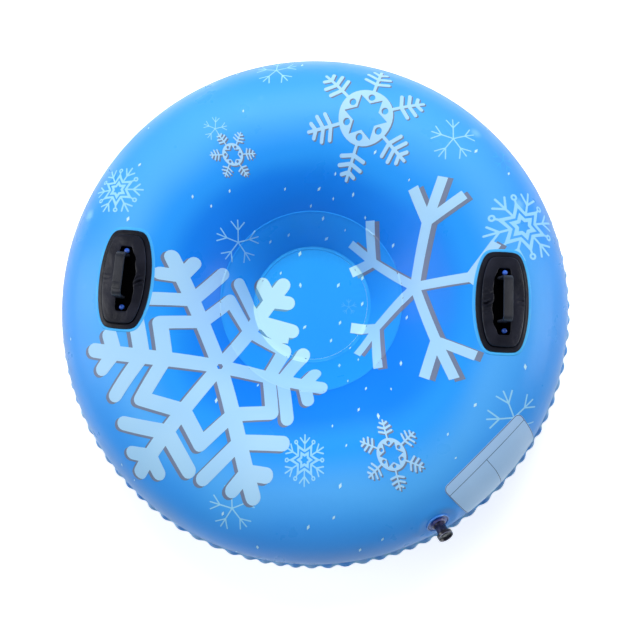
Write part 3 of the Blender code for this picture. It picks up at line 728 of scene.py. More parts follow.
@dataclass
class TubeForm:
    """Form of the blown-up tube, and how its flat film lies over it."""

    seam_radius: float = 0.475
    weld_radius: float = 0.112
    middle: float = 0.13377
    top_start: float = 0.135125
    bottom_start: float = 0.132296
    floor_top: float = 0.13437
    floor_edge: float = 0.1052
    bead_skin: tuple[Spot, ...] = (
        (0.1060, 0.0003, 0.0),
        (0.1070, 0.0010, 0.0),
        (0.1085, 0.0016, 0.0),
        (0.1100, 0.0016, 0.1),
        (0.1120, 0.0022, 0.5),
    )
    film_start: float = 0.0025
    doubler_end: float = 0.0818
    doubler_lift: float = 0.0009
    doubler_rim: tuple[Place, ...] = (
        (-0.0036, 1.0),
        (-0.0024, 1.6),
        (-0.0004, 1.6),
        (0.0010, 0.25),
        (0.0022, 0.0),
    )
    lobes: int = 96
    lobe_depth: float = 0.0045
    lobe_level: float = 0.55
    lobe_power: float = 0.75
    lobe_fade: float = 0.017
    lobe_root: float = 0.0035
    lobe_sizes: Place = (0.55, 0.75)
    lobe_seed: int = 7
    belly_share: float = 0.8
    soft_wave: float = 0.0007
    tuck: float = 0.0034
    tuck_place: float = 0.026
    tuck_width: float = 0.020
    tuck_root: float = 0.008
    valve_azimuth_deg: float = -60.7
    valve_place: Spot = (0.215693, -0.384361, 0.218361)
    valve_turn: tuple[Spot, ...] = (
        (0.324665, 0.872069, 0.366179),
        (-0.578547, 0.489382, -0.652524),
        (-0.748248, 0.0, 0.663419),
    )
    valve_flat: float = 0.0215
    valve_fade: float = 0.0370
    valve_ridge: float = 0.0012
    ridge_width: float = 0.006
    samples: int = 1600

    def __post_init__(self) -> None:
        """Work out the section, from a flat ring that is blown up between two welds."""
        steep, flat = 1.0, 0.0
        for _ in range(50):
            sine = (steep + flat) / 2
            self._section(sine)
            if self.heights[-1] > 0:
                steep = sine
            else:
                flat = sine
        self.length = float(self.arcs[-1])
        self._skin()
        least, more = self.lobe_sizes
        self.sizes = least + more * np.random.default_rng(self.lobe_seed).random(self.lobes)
        self.valve = Matrix.Translation(self.valve_place) @ Matrix(self.valve_turn).to_4x4()

    def _section(self, sine: float) -> None:
        """Set the tables of radius, height, slope and arc length.

        Args:
            sine: Sine of the film's slope at the inner weld.
        """
        span = math.sqrt(self.seam_radius - self.weld_radius)
        share = np.linspace(1.0, 0.0, self.samples)
        self.radii = self.seam_radius - (span * share) ** 2
        bend = 2 * (1 + sine) / (self.seam_radius**2 - self.weld_radius**2)
        self.sines = sine - bend * (self.radii**2 - self.weld_radius**2) / 2
        rate = 2 * span / np.sqrt((1 - self.sines) * bend * (self.seam_radius + self.radii) / 2)
        self.arcs = summed(rate, -np.diff(share))
        self.heights = summed(rate * self.sines, -np.diff(share))

    def _skin(self) -> None:
        """Set the tables of the skin that the eye sees from above: seat, weld bead, doubler and film."""
        arcs = np.linspace(self.film_start, self.length, 900)
        radius, height, slope = self.section(arcs)
        past, share = np.array(self.doubler_rim).T
        cover = np.interp(arcs, self.doubler_end + past, share * self.doubler_lift)
        flat = np.array([(0.0, 0.0, 0.0), (self.floor_edge, 0.0, 0.0), *self.bead_skin]).T
        self.skin_reach = np.concatenate([flat[0], self.weld_radius + arcs])
        self.skin = (
            np.concatenate([flat[0], radius - cover * np.sin(slope)]),
            np.concatenate([self.floor_top + flat[1], self.top_start + height + cover * np.cos(slope)]),
            np.concatenate([flat[2], slope]),
        )
        rim = self.weld_radius + (self.doubler_end + past)
        self.skin_steps = [self.floor_edge, *flat[0][3:], self.weld_radius + self.film_start, *rim]

    def section(self, arc: np.ndarray | float) -> tuple[np.ndarray, np.ndarray, np.ndarray]:
        """Look up the film's section.

        Args:
            arc: Arc lengths from the inner weld.

        Returns:
            Radius, height over the weld and slope.
        """
        radius = np.interp(arc, self.arcs, self.radii)
        height = np.interp(arc, self.arcs, self.heights)
        sine = np.interp(arc, self.arcs, self.sines)
        return radius, height, np.arcsin(np.clip(sine, -1.0, 1.0))

    def arc_of(self, radius: np.ndarray | float) -> np.ndarray:
        """Distance along the film from the inner weld to a radius."""
        return np.interp(radius, self.radii, self.arcs)

    def lobe(self, azimuth: np.ndarray) -> np.ndarray:
        """Pillow of the seam's puckers.

        Args:
            azimuth: Azimuths.

        Returns:
            0 in a crease and about 1 on a lobe.
        """
        drift = sum(size * np.sin(times * azimuth + start) for times, start, size in SWAY)
        wave = np.abs(np.cos(self.lobes * azimuth / 2 + drift)) ** self.lobe_power
        turn = np.mod(azimuth / math.tau, 1.0) * self.lobes
        low = np.floor(turn).astype(int) % self.lobes
        return wave * (self.sizes[low] * (1 - turn % 1) + self.sizes[(low + 1) % self.lobes] * (turn % 1))

    def swell(self, arc: np.ndarray, azimuth: np.ndarray) -> np.ndarray:
        """How far the film stands proud of the smooth form.

        Args:
            arc: Arc lengths from the inner weld.
            azimuth: Azimuths.

        Returns:
            The distances.
        """
        left = np.maximum(self.length - arc, 0.0)
        window = (1 - np.exp(-left / self.lobe_root)) * np.exp(-left / self.lobe_fade)
        soft = self.soft_wave * np.sin(3 * azimuth + 0.7) * ease(arc, 0.02, 0.12) * ease(left, 0.0, 0.1)
        tucked = self.tuck * bell(left, self.tuck_place, self.tuck_width)
        tucked = tucked * (1 - np.exp(-left / self.tuck_root))
        return self.lobe_depth * (self.lobe(azimuth) - self.lobe_level) * window + soft - tucked

    def film(
        self, arc: np.ndarray, azimuth: np.ndarray, lift: np.ndarray | float, top: bool = True
    ) -> np.ndarray:
        """Points on a film ring.

        Args:
            arc: Arc lengths from the inner weld.
            azimuth: Azimuths.
            lift: Distance off the film's outer face.
            top: The upper ring, or else the lower one.

        Returns:
            The points.
        """
        radius, height, slope = self.section(arc)
        proud = self.swell(arc, azimuth) * (1.0 if top else self.belly_share) + lift
        rise = height + proud * np.cos(slope)
        level = self.top_start + rise if top else np.maximum(self.bottom_start - rise, 0.0)
        return placed(azimuth, radius - proud * np.sin(slope), level)

    def laid(self, flat: np.ndarray, lift: float) -> np.ndarray:
        """Points of the flat film, as they lie on the blown-up tube seen from above.

        Args:
            flat: Places on the flat film, one row of X and Y each.
            lift: Distance off the skin.

        Returns:
            The points.
        """
        reach = np.hypot(flat[:, 0], flat[:, 1])
        azimuth = np.arctan2(flat[:, 1], flat[:, 0])
        radius, height, slope = (np.interp(reach, self.skin_reach, table) for table in self.skin)
        proud = self.swell(reach - self.weld_radius, azimuth) * ease(reach, 0.114, 0.13) + lift
        return placed(azimuth, radius - proud * np.sin(slope), height + proud * np.cos(slope))

    def settle(self, points: np.ndarray, level: float) -> np.ndarray:
        """Press the film flat under the valve, with a soft ridge round the hollow.

        Args:
            points: Points of the film.
            level: Level of the hollow in the valve's frame.

        Returns:
            The points after it.
        """
        local = carried(points, self.valve.inverted())
        away = np.hypot(local[..., 0], local[..., 1])
        near = (away < self.valve_fade * 1.6) & (np.abs(local[..., 2]) < 0.02)
        share = 1 - ease(away, self.valve_flat, self.valve_fade)
        ridge = self.valve_ridge * bell(away, self.valve_fade, self.ridge_width)
        wanted = local[..., 2] * (1 - share) + level * share + ridge
        local[near, 2] = wanted[near]
        return carried(local, self.valve)


@dataclass
class TubeFilms:
    """The two film rings, the seat, its weld bead and the doubler."""

    form: TubeForm
    columns: int = 640
    rows: int = 84
    back_rows: int = 40
    wall: float = 0.0006
    back_depth: float = 0.0009
    hollow: float = 0.0001
    seat_wall: float = 0.0012
    seat_ripple: float = 0.00022
    bead: tuple[Place, ...] = (
        (105.4, 0.0),
        (106.2, 0.6),
        (107.2, 1.1),
        (108.2, 1.2),
        (109.0, 0.7),
        (109.7, 0.6),
        (110.6, 1.3),
        (111.8, 1.3),
        (112.8, 0.7),
        (113.4, 0.1),
    )
    doubler_rim: tuple[Place, ...] = ((-3.0, 1.05), (-1.8, 1.25), (-0.7, 1.00), (0.0, 0.4))
    doubler_columns: int = 480

    def _stations(self, rows: int) -> np.ndarray:
        """Arc lengths of the rows, closer together near the seam, the weld and the valve.

        Args:
            rows: Number of rows.

        Returns:
            The arc lengths.
        """
        fine = np.linspace(0.0, self.form.length, 2000)
        left = self.form.length - fine
        welds = 2.2 * np.exp(-left / 0.035) + 1.2 * bell(left, 0.095, 0.03) + 0.8 * np.exp(-fine / 0.02)
        return spaced(fine, 1.0 + welds, rows)

    def _azimuths(self) -> np.ndarray:
        """Azimuths of the columns, closer together at the valve.

        Returns:
            The azimuths.
        """
        fine = np.linspace(-math.pi, math.pi, 4000)
        weight = 1.0 + 1.5 * bell(fine, math.radians(self.form.valve_azimuth_deg), 0.09)
        return spaced(fine, weight, self.columns + 1)[:-1]

    def _ring(self, name: str, top: bool) -> Mesh:
        """A closed film ring with its thickness, the outer face fine and the inner one coarse.

        Args:
            name: Name of the mesh.
            top: The upper ring, or else the lower one.

        Returns:
            The mesh.
        """
        rings = []
        sheets = ((self._stations(self.rows), False), (self._stations(self.back_rows)[::-1], True))
        for arcs, back in sheets:
            arc, azimuth = np.meshgrid(arcs, self._azimuths(), indexing="ij")
            middle = ease(arc, 0.0, 0.03) * ease(self.form.length - arc, 0.0, 0.03)
            lift = -(self.wall + self.back_depth * middle) if back else 0.0
            points = self.form.film(arc, azimuth, lift, top)
            if top:
                points = self.form.settle(points, -self.wall if back else self.hollow)
            rings += list(points)
        return stacked(name, rings[::-1] if top else rings, 60.0)

    def _seat(self) -> Mesh:
        """The seat film, a closed disc with faint puckers along its weld.

        Returns:
            The mesh.
        """
        edge, top, columns = self.form.floor_edge, self.form.floor_top, 192
        ripple = self.seat_ripple * np.cos(46 * turns(columns) + 0.8 * np.sin(7 * turns(columns)))
        profile = [(edge, top - self.seat_wall), (edge, top)]
        for radius in np.linspace(0.985, 0.06, 16) * edge:
            profile.append((radius, top + ripple * ease(radius, edge * 0.72, edge)))
        return lathe("seat_film", profile, columns, 50.0, closed=False)

    def _bead(self) -> Mesh:
        """The weld bead between the seat and the tube's wall, doubled on its lower side.

        Returns:
            The mesh.
        """
        top, low = self.form.floor_top, 2 * self.form.middle - self.form.floor_top
        upper = MM * np.array(self.bead)
        outline = [(r, low - h * 0.8) for r, h in upper] + [(r, top + h) for r, h in upper[::-1]]
        return lathe("weld_bead", outline, 320, 50.0)

    def _doubler(self) -> Mesh:
        """The reinforcing ring on the lower wall, with a raised weld at its rim.

        Returns:
            The mesh.
        """
        end = self.form.doubler_end
        lifts = [(0.0004, 0.00065), *[(arc, 0.00075) for arc in np.linspace(0.003, end - 0.004, 18)]]
        lifts += [(end + past, lift) for past, lift in MM * np.array(self.doubler_rim)]
        lifts += [(arc, 0.0002) for arc in np.linspace(end - 0.0002, 0.0004, 14)]
        azimuths = turns(self.doubler_columns)
        rings = [self.form.film(np.full(azimuths.shape, arc), azimuths, lift) for arc, lift in lifts[::-1]]
        return stacked("doubler_film", rings, 50.0)

    def build(self) -> None:
        """Build and dress the films."""
        show(self._ring("top_film", True), TOP_FILM, "top_film", "top_shell")
        show(self._ring("belly_film", False), BELLY_FILM, "bottom_film", "bottom_shell")
        show(self._seat(), SEAT_FILM, "seat_film", "seat_floor")
        show(self._bead(), WELD_FILM, "weld_film", "inner_weld_ring")
        show(self._doubler(), DOUBLER_FILM, "doubler_film", "well_doubler")


# Geometry node trees


class TreeKit(Nodes):
    """Adds the nodes of one geometry tree, which takes a mesh and named numbers in."""

    def __init__(self, name: str, inputs: dict[str, float]) -> None:
        """Start a tree.

        Args:
            name: Name of the tree.
            inputs: Named number inputs and their values.
        """
        super().__init__(bpy.data.node_groups.new(name, "GeometryNodeTree"))
        face = self.tree.interface
        face.new_socket("Geometry", in_out="INPUT", socket_type="NodeSocketGeometry")
        self.values = {}
        for label, value in inputs.items():
            kind = "NodeSocketInt" if isinstance(value, int) else "NodeSocketFloat"
            socket = face.new_socket(label, in_out="INPUT", socket_type=kind)
            socket.default_value = value
            self.values[socket.identifier] = value
        face.new_socket("Geometry", in_out="OUTPUT", socket_type="NodeSocketGeometry")
        self.given = self.add("NodeGroupInput").outputs

    def run(self, name: str, mesh: Mesh, geometry: Socket, material: bpy.types.Material) -> Mesh:
        """End the tree in Realize Instances and Set Material, and keep its result as a plain mesh.

        Args:
            name: Name of the result.
            mesh: The mesh that the tree works on.
            geometry: The tree's last geometry.
            material: The result's material.

        Returns:
            The plain mesh.
        """
        real = self.add("GeometryNodeRealizeInstances", {0: geometry}).outputs[0]
        dressed = self.add("GeometryNodeSetMaterial", {"Geometry": real, "Material": material})
        self.add("NodeGroupOutput", {0: dressed.outputs[0]})
        holder = bpy.data.objects.new(f"{name}_holder", mesh)
        bpy.context.scene.collection.objects.link(holder)
        modifier = holder.modifiers.new("tree", "NODES")
        modifier.node_group = self.tree
        for identifier, value in self.values.items():
            modifier[identifier] = value
        evaluated = holder.evaluated_get(bpy.context.evaluated_depsgraph_get())
        made = bpy.data.meshes.new_from_object(evaluated)
        made.name = name
        holder.modifiers.clear()
        bpy.data.objects.remove(holder, do_unlink=True)
        return made


@dataclass
class SeamFlange:
    """The scalloped flange of the outer weld, which waves up and down."""

    form: TubeForm
    root: float = 0.0032
    width: float = 0.0098
    crinkle: float = 0.0030
    scallop: float = 0.0030
    thickness: float = 0.0011
    calm: float = 0.25
    growth: float = 1.3
    valley_power: float = 1.6
    noise_scale: float = 26.0
    per_lobe: int = 12
    across: int = 6

    def _bent(self, strip: Mesh) -> Mesh:
        """Bend a flat strip into the flange with a geometry tree.

        Args:
            strip: The strip, with the azimuth as X and the share of the width as Y.

        Returns:
            The flange's middle sheet.
        """
        inputs = {
            "Seam Radius": self.form.seam_radius,
            "Root": self.root,
            "Width": self.width,
            "Crinkle": self.crinkle,
            "Scallop": self.scallop,
            "Lobes": float(self.form.lobes),
            "Height": self.form.middle,
        }
        kit = TreeKit("flange_tree", inputs)
        given = kit.given
        place = kit.add("GeometryNodeInputPosition").outputs[0]
        angle, share, _ = kit.add("ShaderNodeSeparateXYZ", {0: place}).outputs
        sway = [
            kit.times(kit.math("SINE", kit.plus(kit.times(angle, float(times)), start)), size)
            for times, start, size in SWAY
        ]
        half = kit.plus(kit.times(angle, kit.math("DIVIDE", given["Lobes"], 2.0)), kit.plus(*sway))
        wave = kit.math("COSINE", kit.times(half, 2.0))
        away = kit.math("MAXIMUM", kit.minus(share, self.calm), 0.0)
        grown = kit.math("POWER", kit.math("DIVIDE", away, 1 - self.calm), self.growth)
        valley = kit.math("POWER", kit.times(kit.minus(1.0, wave), 0.5), self.valley_power)
        reach = kit.times(kit.plus(given["Width"], given["Root"]), share)
        rim = kit.plus(kit.minus(given["Seam Radius"], given["Root"]), reach)
        radius = kit.minus(rim, kit.times(valley, given["Scallop"], grown))
        ring = {0: kit.math("COSINE", angle), 1: kit.math("SINE", angle)}
        feeds = {"Vector": kit.add("ShaderNodeCombineXYZ", ring).outputs[0], "Scale": self.noise_scale}
        uneven = kit.plus(kit.times(kit.add("ShaderNodeTexNoise", feeds).outputs[0], 1.1), 0.45)
        lift = kit.times(wave, given["Crinkle"], grown, uneven)
        height = kit.plus(given["Height"], lift)
        spot = {0: kit.times(radius, ring[0]), 1: kit.times(radius, ring[1]), 2: height}
        where = kit.add("ShaderNodeCombineXYZ", spot).outputs[0]
        feeds = {"Geometry": given["Geometry"], "Position": where}
        moved = kit.add("GeometryNodeSetPosition", feeds).outputs[0]
        merged = kit.add("GeometryNodeMergeByDistance", {"Geometry": moved, "Distance": 0.00002})
        return kit.run("seam_flange", strip, merged.outputs[0], SEAM_FILM_WITH_PAINTED_LIGHT.material())

    def build(self) -> None:
        """Bend the strip, give it its thickness and show it."""
        columns = self.form.lobes * self.per_lobe + 1
        angles = np.linspace(-math.pi, math.pi, columns)
        share, angle = np.meshgrid(np.linspace(0.0, 1.0, self.across), angles, indexing="ij")
        points = np.stack([angle.ravel(), share.ravel(), np.zeros(angle.size)], axis=1)
        faces = grid_faces(self.across, columns, False, wrap_columns=False)[:, ::-1]
        flange = self._bent(build_mesh("flange_strip", points, faces, 40.0))
        piece = show(flange, SEAM_FILM_WITH_PAINTED_LIGHT, "seam_film", "outer_seam")
        wall = piece.modifiers.new("wall", "SOLIDIFY")
        wall.thickness = self.thickness
        wall.offset = 0.0


# Printed ornament


def bar(start: Place, end: Place, width: float, rounded_ends: bool = True) -> Outline:
    """Outline of a straight bar.

    Args:
        start: Where its middle line starts.
        end: Where its middle line ends.
        width: Its width.
        rounded_ends: Round ends, or else square ones.

    Returns:
        The outline.
    """
    a, b = np.array(start, float), np.array(end, float)
    along = (b - a) / max(float(np.hypot(*(b - a))), 1e-9)
    side = beside(along) * width / 2
    if not rounded_ends:
        return np.array([a - side, b - side, b + side, a + side])
    turn = math.atan2(along[1], along[0])
    bow = width / 2 * around(turn + np.linspace(-math.pi / 2, math.pi / 2, 9))
    return np.concatenate([b + bow, a - bow])


def disc(centre: Place, radius: float, steps: int) -> Outline:
    """Outline of a disc."""
    return np.array(centre) + radius * around(turns(steps))


def star(radius: float, valley: float) -> Outline:
    """Outline of a six-pointed star about the origin, between two radii."""
    radii = np.where(np.arange(12) % 2 == 0, radius, valley)
    return radii[:, None] * around(math.pi / 6 * (1 + np.arange(12)))


def rounded(low: Place, high: Place, radius: float, steps: int) -> Outline:
    """Outline of a box with round corners.

    Args:
        low: Its low corner.
        high: Its high corner.
        radius: Radius of its corners.
        steps: Points on a corner.

    Returns:
        The outline, anticlockwise.
    """
    ends = (np.array(low) + radius, np.array(high) - radius)
    corners = []
    for quarter, (right, upper) in enumerate(((1, 1), (0, 1), (0, 0), (1, 0))):
        angles = math.pi / 2 * (quarter + np.linspace(0, 1, steps))
        corners.append(np.array([ends[right][0], ends[upper][1]]) + radius * around(angles))
    return np.concatenate(corners)


def split_edges(outline: Outline) -> Outline:
    """Split an outline's long edges.

    Args:
        outline: The outline.

    Returns:
        The outline with more points.
    """
    points = []
    for start, end in zip(outline, np.roll(outline, -1, axis=0)):
        parts = max(1, math.ceil(float(np.hypot(*(end - start))) / GRID))
        points += [start + (end - start) * k / parts for k in range(parts)]
    return np.array(points)


def inside(points: np.ndarray, outline: Outline) -> np.ndarray:
    """Find the points that lie inside an outline.

    Args:
        points: The points.
        outline: The outline.

    Returns:
        True for each point inside.
    """
    ax, ay = outline[:, 0], outline[:, 1]
    bx, by = np.roll(ax, -1), np.roll(ay, -1)
    px, py = points[:, :1], points[:, 1:]
    spans = (ay > py) != (by > py)
    slope = np.where(by == ay, 1e-12, by - ay)
    crossing = ax + (py - ay) * (bx - ax) / slope
    return (np.sum(spans & (px < crossing), axis=1) % 2) == 1


@dataclass
class Ornament:
    """A flat ornament on the film: what is printed, and what stays open in it."""

    solid: list[Outline] = field(default_factory=list)
    rings: list[tuple[Outline, Outline]] = field(default_factory=list)
    open: list[Outline] = field(default_factory=list)

    def moved(self, shift: Place, turn_deg: float = 0.0, scale: float = 1.0) -> "Ornament":
        """A turned, scaled and moved copy.

        Args:
            shift: How far it moves, in millimetres.
            turn_deg: How far it turns.
            scale: How much larger it gets.

        Returns:
            The copy, in metres.
        """
        matrix, away = scale * turning(turn_deg), MM * np.array(shift)
        return Ornament(
            [o @ matrix + away for o in self.solid],
            [(a @ matrix + away, b @ matrix + away) for a, b in self.rings],
            [o @ matrix + away for o in self.open],
        )

    def joined(self, other: "Ornament") -> "Ornament":
        """This ornament and another together."""
        return Ornament(self.solid + other.solid, self.rings + other.rings, self.open + other.open)

    def covers(self, points: np.ndarray) -> np.ndarray:
        """Find the points that are printed.

        Args:
            points: The points.

        Returns:
            True for each printed point.
        """
        found = np.zeros(len(points), bool)
        for outline in self.solid:
            found |= inside(points, outline)
        for outer, hole in self.rings:
            found |= inside(points, outer) & ~inside(points, hole)
        for outline in self.open:
            found &= ~inside(points, outline)
        return found

    def _triangles(self, steps: list[Outline]) -> tuple[np.ndarray, np.ndarray]:
        """Cover the ornament with small triangles.

        Args:
            steps: Circles along which the skin bends.

        Returns:
            Places on the flat film, and the triangles between them.
        """
        outlines = self.solid + [o for pair in self.rings for o in pair] + self.open
        loops = [split_edges(outline) for outline in outlines]
        border = np.concatenate(loops)
        kept = [np.ones(len(loop), bool) for loop in loops] + [self.covers(step) for step in steps]
        edges, count = [], 0
        for drawn in kept:
            following = np.roll(np.arange(len(drawn)), -1)
            linked = np.nonzero(drawn & drawn[following])[0]
            edges += [(count + int(i), count + int(following[i])) for i in linked]
            count += len(drawn)
        xs, ys = (np.arange(border[:, k].min(), border[:, k].max(), GRID) + GRID / 3 for k in (0, 1))
        spots = np.stack(np.meshgrid(xs, ys), axis=-1).reshape(-1, 2)
        flat = [Vector(p) for p in np.concatenate([border, *steps, spots[self.covers(spots)]])]
        result = delaunay_2d_cdt(flat, edges, [], 0, 1e-6, False)
        places = np.array([tuple(p) for p in result[0]])
        triangles = np.array([list(f) for f in result[2]])
        triangles = triangles[self.covers(places[triangles].mean(axis=1))]
        a, b, c = (places[triangles[:, k]] for k in range(3))
        area = (b[:, 0] - a[:, 0]) * (c[:, 1] - a[:, 1]) - (c[:, 0] - a[:, 0]) * (b[:, 1] - a[:, 1])
        triangles[area < 0] = triangles[area < 0][:, ::-1]
        used, numbers = np.unique(triangles[np.abs(area) > 1e-12], return_inverse=True)
        return places[used], numbers.reshape(-1, 3)

    def mesh(self, name: str, form: TubeForm, lifts: Place) -> Mesh:
        """The ornament as a thin closed layer on the tube.

        Args:
            name: Name of the mesh.
            form: The tube's form.
            lifts: Lift of the layer's underside and of its face, in millimetres.

        Returns:
            The mesh.
        """
        steps = [disc((0.0, 0.0), reach, int(math.tau * reach / GRID)) for reach in form.skin_steps]
        places, triangles = self._triangles(steps)
        low, high = (form.laid(places, MM * lift) for lift in lifts)
        total = len(places)
        sides = [tuple(side) for k in range(3) for side in triangles[:, [k, (k + 1) % 3]].tolist()]
        known = set(sides)
        walls = [[q, p, p + total, q + total] for p, q in sides if (q, p) not in known]
        faces = triangles.tolist() + (triangles[:, ::-1] + total).tolist() + walls
        return build_mesh(name, np.concatenate([high, low]), faces, 30.0)


@dataclass
class BoldSnowflake:
    """The large six-armed snowflake at the left, in millimetres on the flat film."""

    centre: Place = (-189.0, -144.0)
    arms: tuple[Spot, ...] = (
        (113.0, 246.0, 1.0),
        (53.5, 224.0, 0.86),
        (-11.0, 214.0, 1.0),
        (-70.5, 252.0, 1.0),
        (-125.0, 237.0, 1.0),
        (-189.5, 231.0, 1.0),
    )
    # A painted highlight, drawn as a pale patch in the snowflake's ink.
    painted_glare: tuple[Place, ...] = (
        (-120, -14),
        (-96, -24),
        (-62, -38),
        (-42, -54),
        (-46, -76),
        (-66, -74),
        (-86, -62),
        (-108, -36),
    )
    full_arm: float = 234.0
    low_branch: Spot = (144.0, 31.0, 78.0)
    high_branch: Spot = (194.0, 17.0, 33.0)
    arm_width: float = 28.0
    limb_width: float = 26.5
    joint: float = 102.0
    apex: float = 146.0
    hole: float = 6.0

    def outline(self) -> Ornament:
        """Draw the arms with their branches, the star between them and the pale patch of painted highlight.

        Returns:
            The snowflake, in its place on the film.
        """
        made = Ornament()
        for turn_deg, length, right_share in self.arms:
            share = length / self.full_arm
            limbs = [((0, 0), (length, 0), self.arm_width)]
            low, low_along, low_across = self.low_branch
            high, high_along, high_across = self.high_branch
            for side, reach in ((1, 1.0), (-1, right_share)):
                fork = (share * (low + low_along * reach), side * low_across * reach)
                tip = (share * (high + high_along), side * high_across * reach)
                limbs.append(((share * low, 0), fork, self.limb_width))
                limbs.append(((share * high, 0), tip, self.limb_width))
            made.solid += [bar(*limb) @ turning(turn_deg) for limb in limbs]
        angles = [math.radians(arm[0]) for arm in self.arms]
        for first, second in zip(angles, angles[1:] + angles[:1]):
            second -= math.tau if second > first else 0.0
            tip = self.apex * around((first + second) / 2)
            made.solid += [bar(self.joint * around(arm), tip, self.limb_width) for arm in (first, second)]
        # Painted highlight: the pale patch is added to the snowflake's print.
        made.solid.append(np.array(self.painted_glare) - np.array(self.centre))
        made.open.append(disc((0, 0), self.hole, 6))
        return made.moved(self.centre, 0.0, MM)


@dataclass
class ForkedSnowflake:
    """The five-armed snowflake at the right: each arm ends in three square prongs, in millimetres."""

    centre: Place = (220.6, 23.7)
    width: float = 19.5
    arms: tuple[tuple[Place, ...], ...] = (
        ((22, 130), (-8, 198), (46, 212), (86, 174)),
        ((-93, 59), (-146, 36), (-139, 98), (-93, 145)),
        ((101, 11), (143, 76), (176, 20), (158, -42)),
        ((-90, -78), (-80, -169), (-129, -131), (-147, -70)),
        ((36, -116), (102, -145), (62, -190), (9, -191)),
    )

    def outline(self) -> Ornament:
        """Draw the arms and their prongs.

        Returns:
            The snowflake, in its place on the film.
        """
        made = Ornament()
        for joint, *prongs in self.arms:
            made.solid.append(bar((0, 0), joint, self.width, False))
            made.solid.append(disc(joint, self.width * 0.52, 12))
            made.solid += [bar(joint, prong, self.width, False) for prong in prongs]
        made.solid.append(disc((0, 0), self.width * 0.6, 10))
        return made.moved(self.centre, 0.0, MM)


class Motif(Enum):
    """The kinds of small snowflake."""

    RINGED = "ringed"
    STARRED = "starred"
    THIN = "thin"


@dataclass
class SmallSnowflake:
    """A small snowflake of one of the repeated kinds, in millimetres on the flat film."""

    kind: Motif
    centre: Place
    reach: float
    turn_deg: float
    weight: float = 1.0

    def outline(self) -> Ornament:
        """The snowflake, in its place on the film."""
        shapes = {Motif.RINGED: self._ringed, Motif.STARRED: self._starred, Motif.THIN: self._thin}
        return shapes[self.kind]().moved(self.centre, self.turn_deg, self.reach * MM)

    def _arms(self, count: int, limbs: list[tuple[Place, Place, float]]) -> Ornament:
        """Repeat bars round the centre.

        Args:
            count: Number of arms.
            limbs: Start, end and width of each bar of one arm.

        Returns:
            The bars.
        """
        made = Ornament()
        for k in range(count):
            turn = turning(360 * k / count)
            made.solid += [bar(start, end, width * self.weight) @ turn for start, end, width in limbs]
        return made

    def _ringed(self) -> Ornament:
        """A ring with a star-shaped opening and feathered arms.

        Returns:
            The form, with a reach of 1.
        """
        limbs = [((0.44, 0), (0.99, 0), 0.050)]
        for start, along, across in ((0.60, 0.66, 0.20), (0.73, 0.80, 0.19), (0.86, 0.92, 0.11)):
            limbs += [((start, 0), (along, side * across), 0.062) for side in (1, -1)]
        made = self._arms(6, limbs)
        made.rings.append((disc((0, 0), 0.455, 40), star(0.375, 0.215)))
        made.open += [disc(0.325 * way, 0.058, 12) for way in around(turns(6))]
        return made

    def _starred(self) -> Ornament:
        """A double star outline with branched arms and small rings between them.

        Returns:
            The form, with a reach of 1.
        """
        line = 0.060
        limbs = [((0.36, 0), (0.98, 0), line)]
        limbs += [((0.62, 0), (0.86, across), line) for across in (0.21, -0.21)]
        made = self._arms(6, limbs)
        made.rings += [(star(0.70, 0.38), star(0.50, 0.29)), (star(0.38, 0.225), star(0.19, 0.12))]
        for way in around(turns(6) + math.pi / 6):
            made.rings.append((disc(0.80 * way, 0.092, 20), disc(0.80 * way, 0.036, 14)))
            made.solid.append(bar(0.60 * way, 0.72 * way, line))
        return made

    def _thin(self) -> Ornament:
        """Five thin arms with three-pronged tips, with a reach of 1."""
        tips = ((0.0, 1.0, 0.0), (0.55, 0.92, 0.30), (0.55, 0.92, -0.30))
        return self._arms(5, [((start, 0), (along, across), 0.056) for start, along, across in tips])


